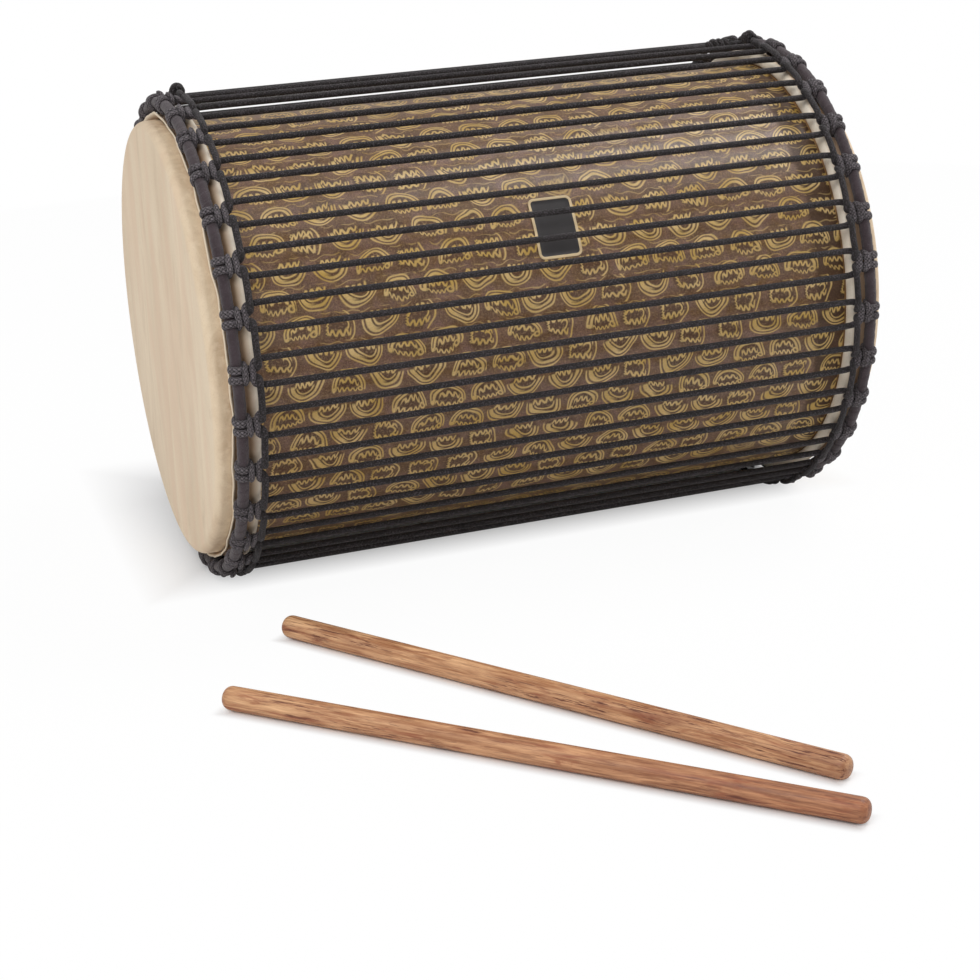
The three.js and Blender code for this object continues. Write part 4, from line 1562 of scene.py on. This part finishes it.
# %% Make the sticks
STICK_SIDES = 40
STICK_RINGS = 60
TIP_RINGS = 14
TIP_DEPTH = 0.85
TIP_FULLNESS = 2.6
TIP_POINT = 0.02
HAND_SANDED = 0.004
SANDING_WAVES = 23
SEED_SHIFT = 20
BLANK_SHIFT = (0.0, 0.4, 0.23)
STICK_SEEDS = {"stick_1": 0.0, "stick_2": 0.31}


def stick_section(radius):
    """Places along a stick and the radius at each one. Its ends are blunter than half balls."""
    straight_end = STICK_LENGTH / 2 - TIP_DEPTH * radius
    straight_x = np.linspace(-1, 1, STICK_RINGS) * straight_end
    power = 2 / TIP_FULLNESS
    tip_angle = np.linspace(0, math.pi / 2, TIP_RINGS + 1)[1:]
    tip_x = straight_end + TIP_DEPTH * radius * np.sin(tip_angle) ** power
    tip_radius = radius * np.maximum(np.maximum(np.cos(tip_angle), 0.0) ** power, TIP_POINT)
    x = np.concatenate([-tip_x[::-1], straight_x, tip_x])
    return x, np.concatenate([tip_radius[::-1], np.full(STICK_RINGS, radius), tip_radius])


def make_stick(name, turn_degrees, seed):
    low, high = (np.array(corner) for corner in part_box(name))
    x, section = stick_section((high[2] - low[2]) / 2)
    section = section * (1 - HAND_SANDED + HAND_SANDED * np.sin(x * SANDING_WAVES + seed * SEED_SHIFT))
    angle = full_turn(STICK_SIDES)
    blank_x = x[:, None].repeat(STICK_SIDES, axis=1)
    blank_y = section[:, None] * np.sin(angle)
    blank_z = section[:, None] * np.cos(angle)
    blank = np.stack([blank_x, blank_y, blank_z], axis=2)[:, ::-1]
    turn = math.radians(turn_degrees)
    lying = np.array([
        [math.cos(turn), -math.sin(turn), 0],
        [math.sin(turn), math.cos(turn), 0],
        [0, 0, 1],
    ])
    rings = (low + high) / 2 + blank @ lying.T
    stick = loft(f"{name}_turned", rings, stick_wood, np.linspace(0, 1, STICK_SIDES + 1), x)
    remembered = stick.data.attributes.new("blank", "FLOAT_VECTOR", "POINT")
    blank = blank + np.array(BLANK_SHIFT) * seed
    remembered.data.foreach_set("vector", blank.astype(np.float32).ravel())
    finish_piece(stick, name, "stick_wood", name)


for name, turn in STICK_TURNS.items():
    make_stick(name, turn, STICK_SEEDS[name])

# %% [markdown]
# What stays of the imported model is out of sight: the wooden shell under its cover, and the steel
# hoops inside the hide and the cloth. They still get finishes of their own, plain sawn wood and
# drawn steel rod, because a part is looked at from inside too.

# %% Finishes of the hidden solids
def shell_material():
    material, tree, shader = new_material("shell_wood", 0.65)
    lines = use_group(tree, grain, vector=object_place(tree), stretch=0.08, scale=40.0)
    base = coats(
        tree,
        mix_colour(tree, lines["Streak"], linear(150, 112, 74), linear(190, 150, 106)),
        (lines["Pore"] * 0.5, linear(110, 76, 48)),
    )
    feed(tree, base, shader.inputs["Base Color"])
    bump(tree, shader, lines["Pore"], 0.2 * MM, 0.5)
    return material


def steel_material():
    material, tree, shader = new_material("hoop_rod", 0.4, Metallic=1.0)
    spots = use_group(tree, mottle, vector=object_place(tree), scale=90.0, contrast=1.0)
    steel_tone = mix_colour(tree, spots["Cloud"], linear(140, 140, 144), linear(176, 176, 180))
    feed(tree, steel_tone, shader.inputs["Base Color"])
    feed(tree, spots["Speck"].ramp(0.0, 1.0, 0.3, 0.5), shader.inputs["Roughness"])
    return material


def repaint(node_name, material):
    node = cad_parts[node_name]
    node.data.materials.clear()
    node.data.materials.append(material)


repaint("shell", shell_material())
steel = steel_material()
for side in ENDS:
    repaint(f"{side}_flesh_hoop", steel)
    repaint(f"{side}_crown_hoop", steel)
print("hidden solids repainted")
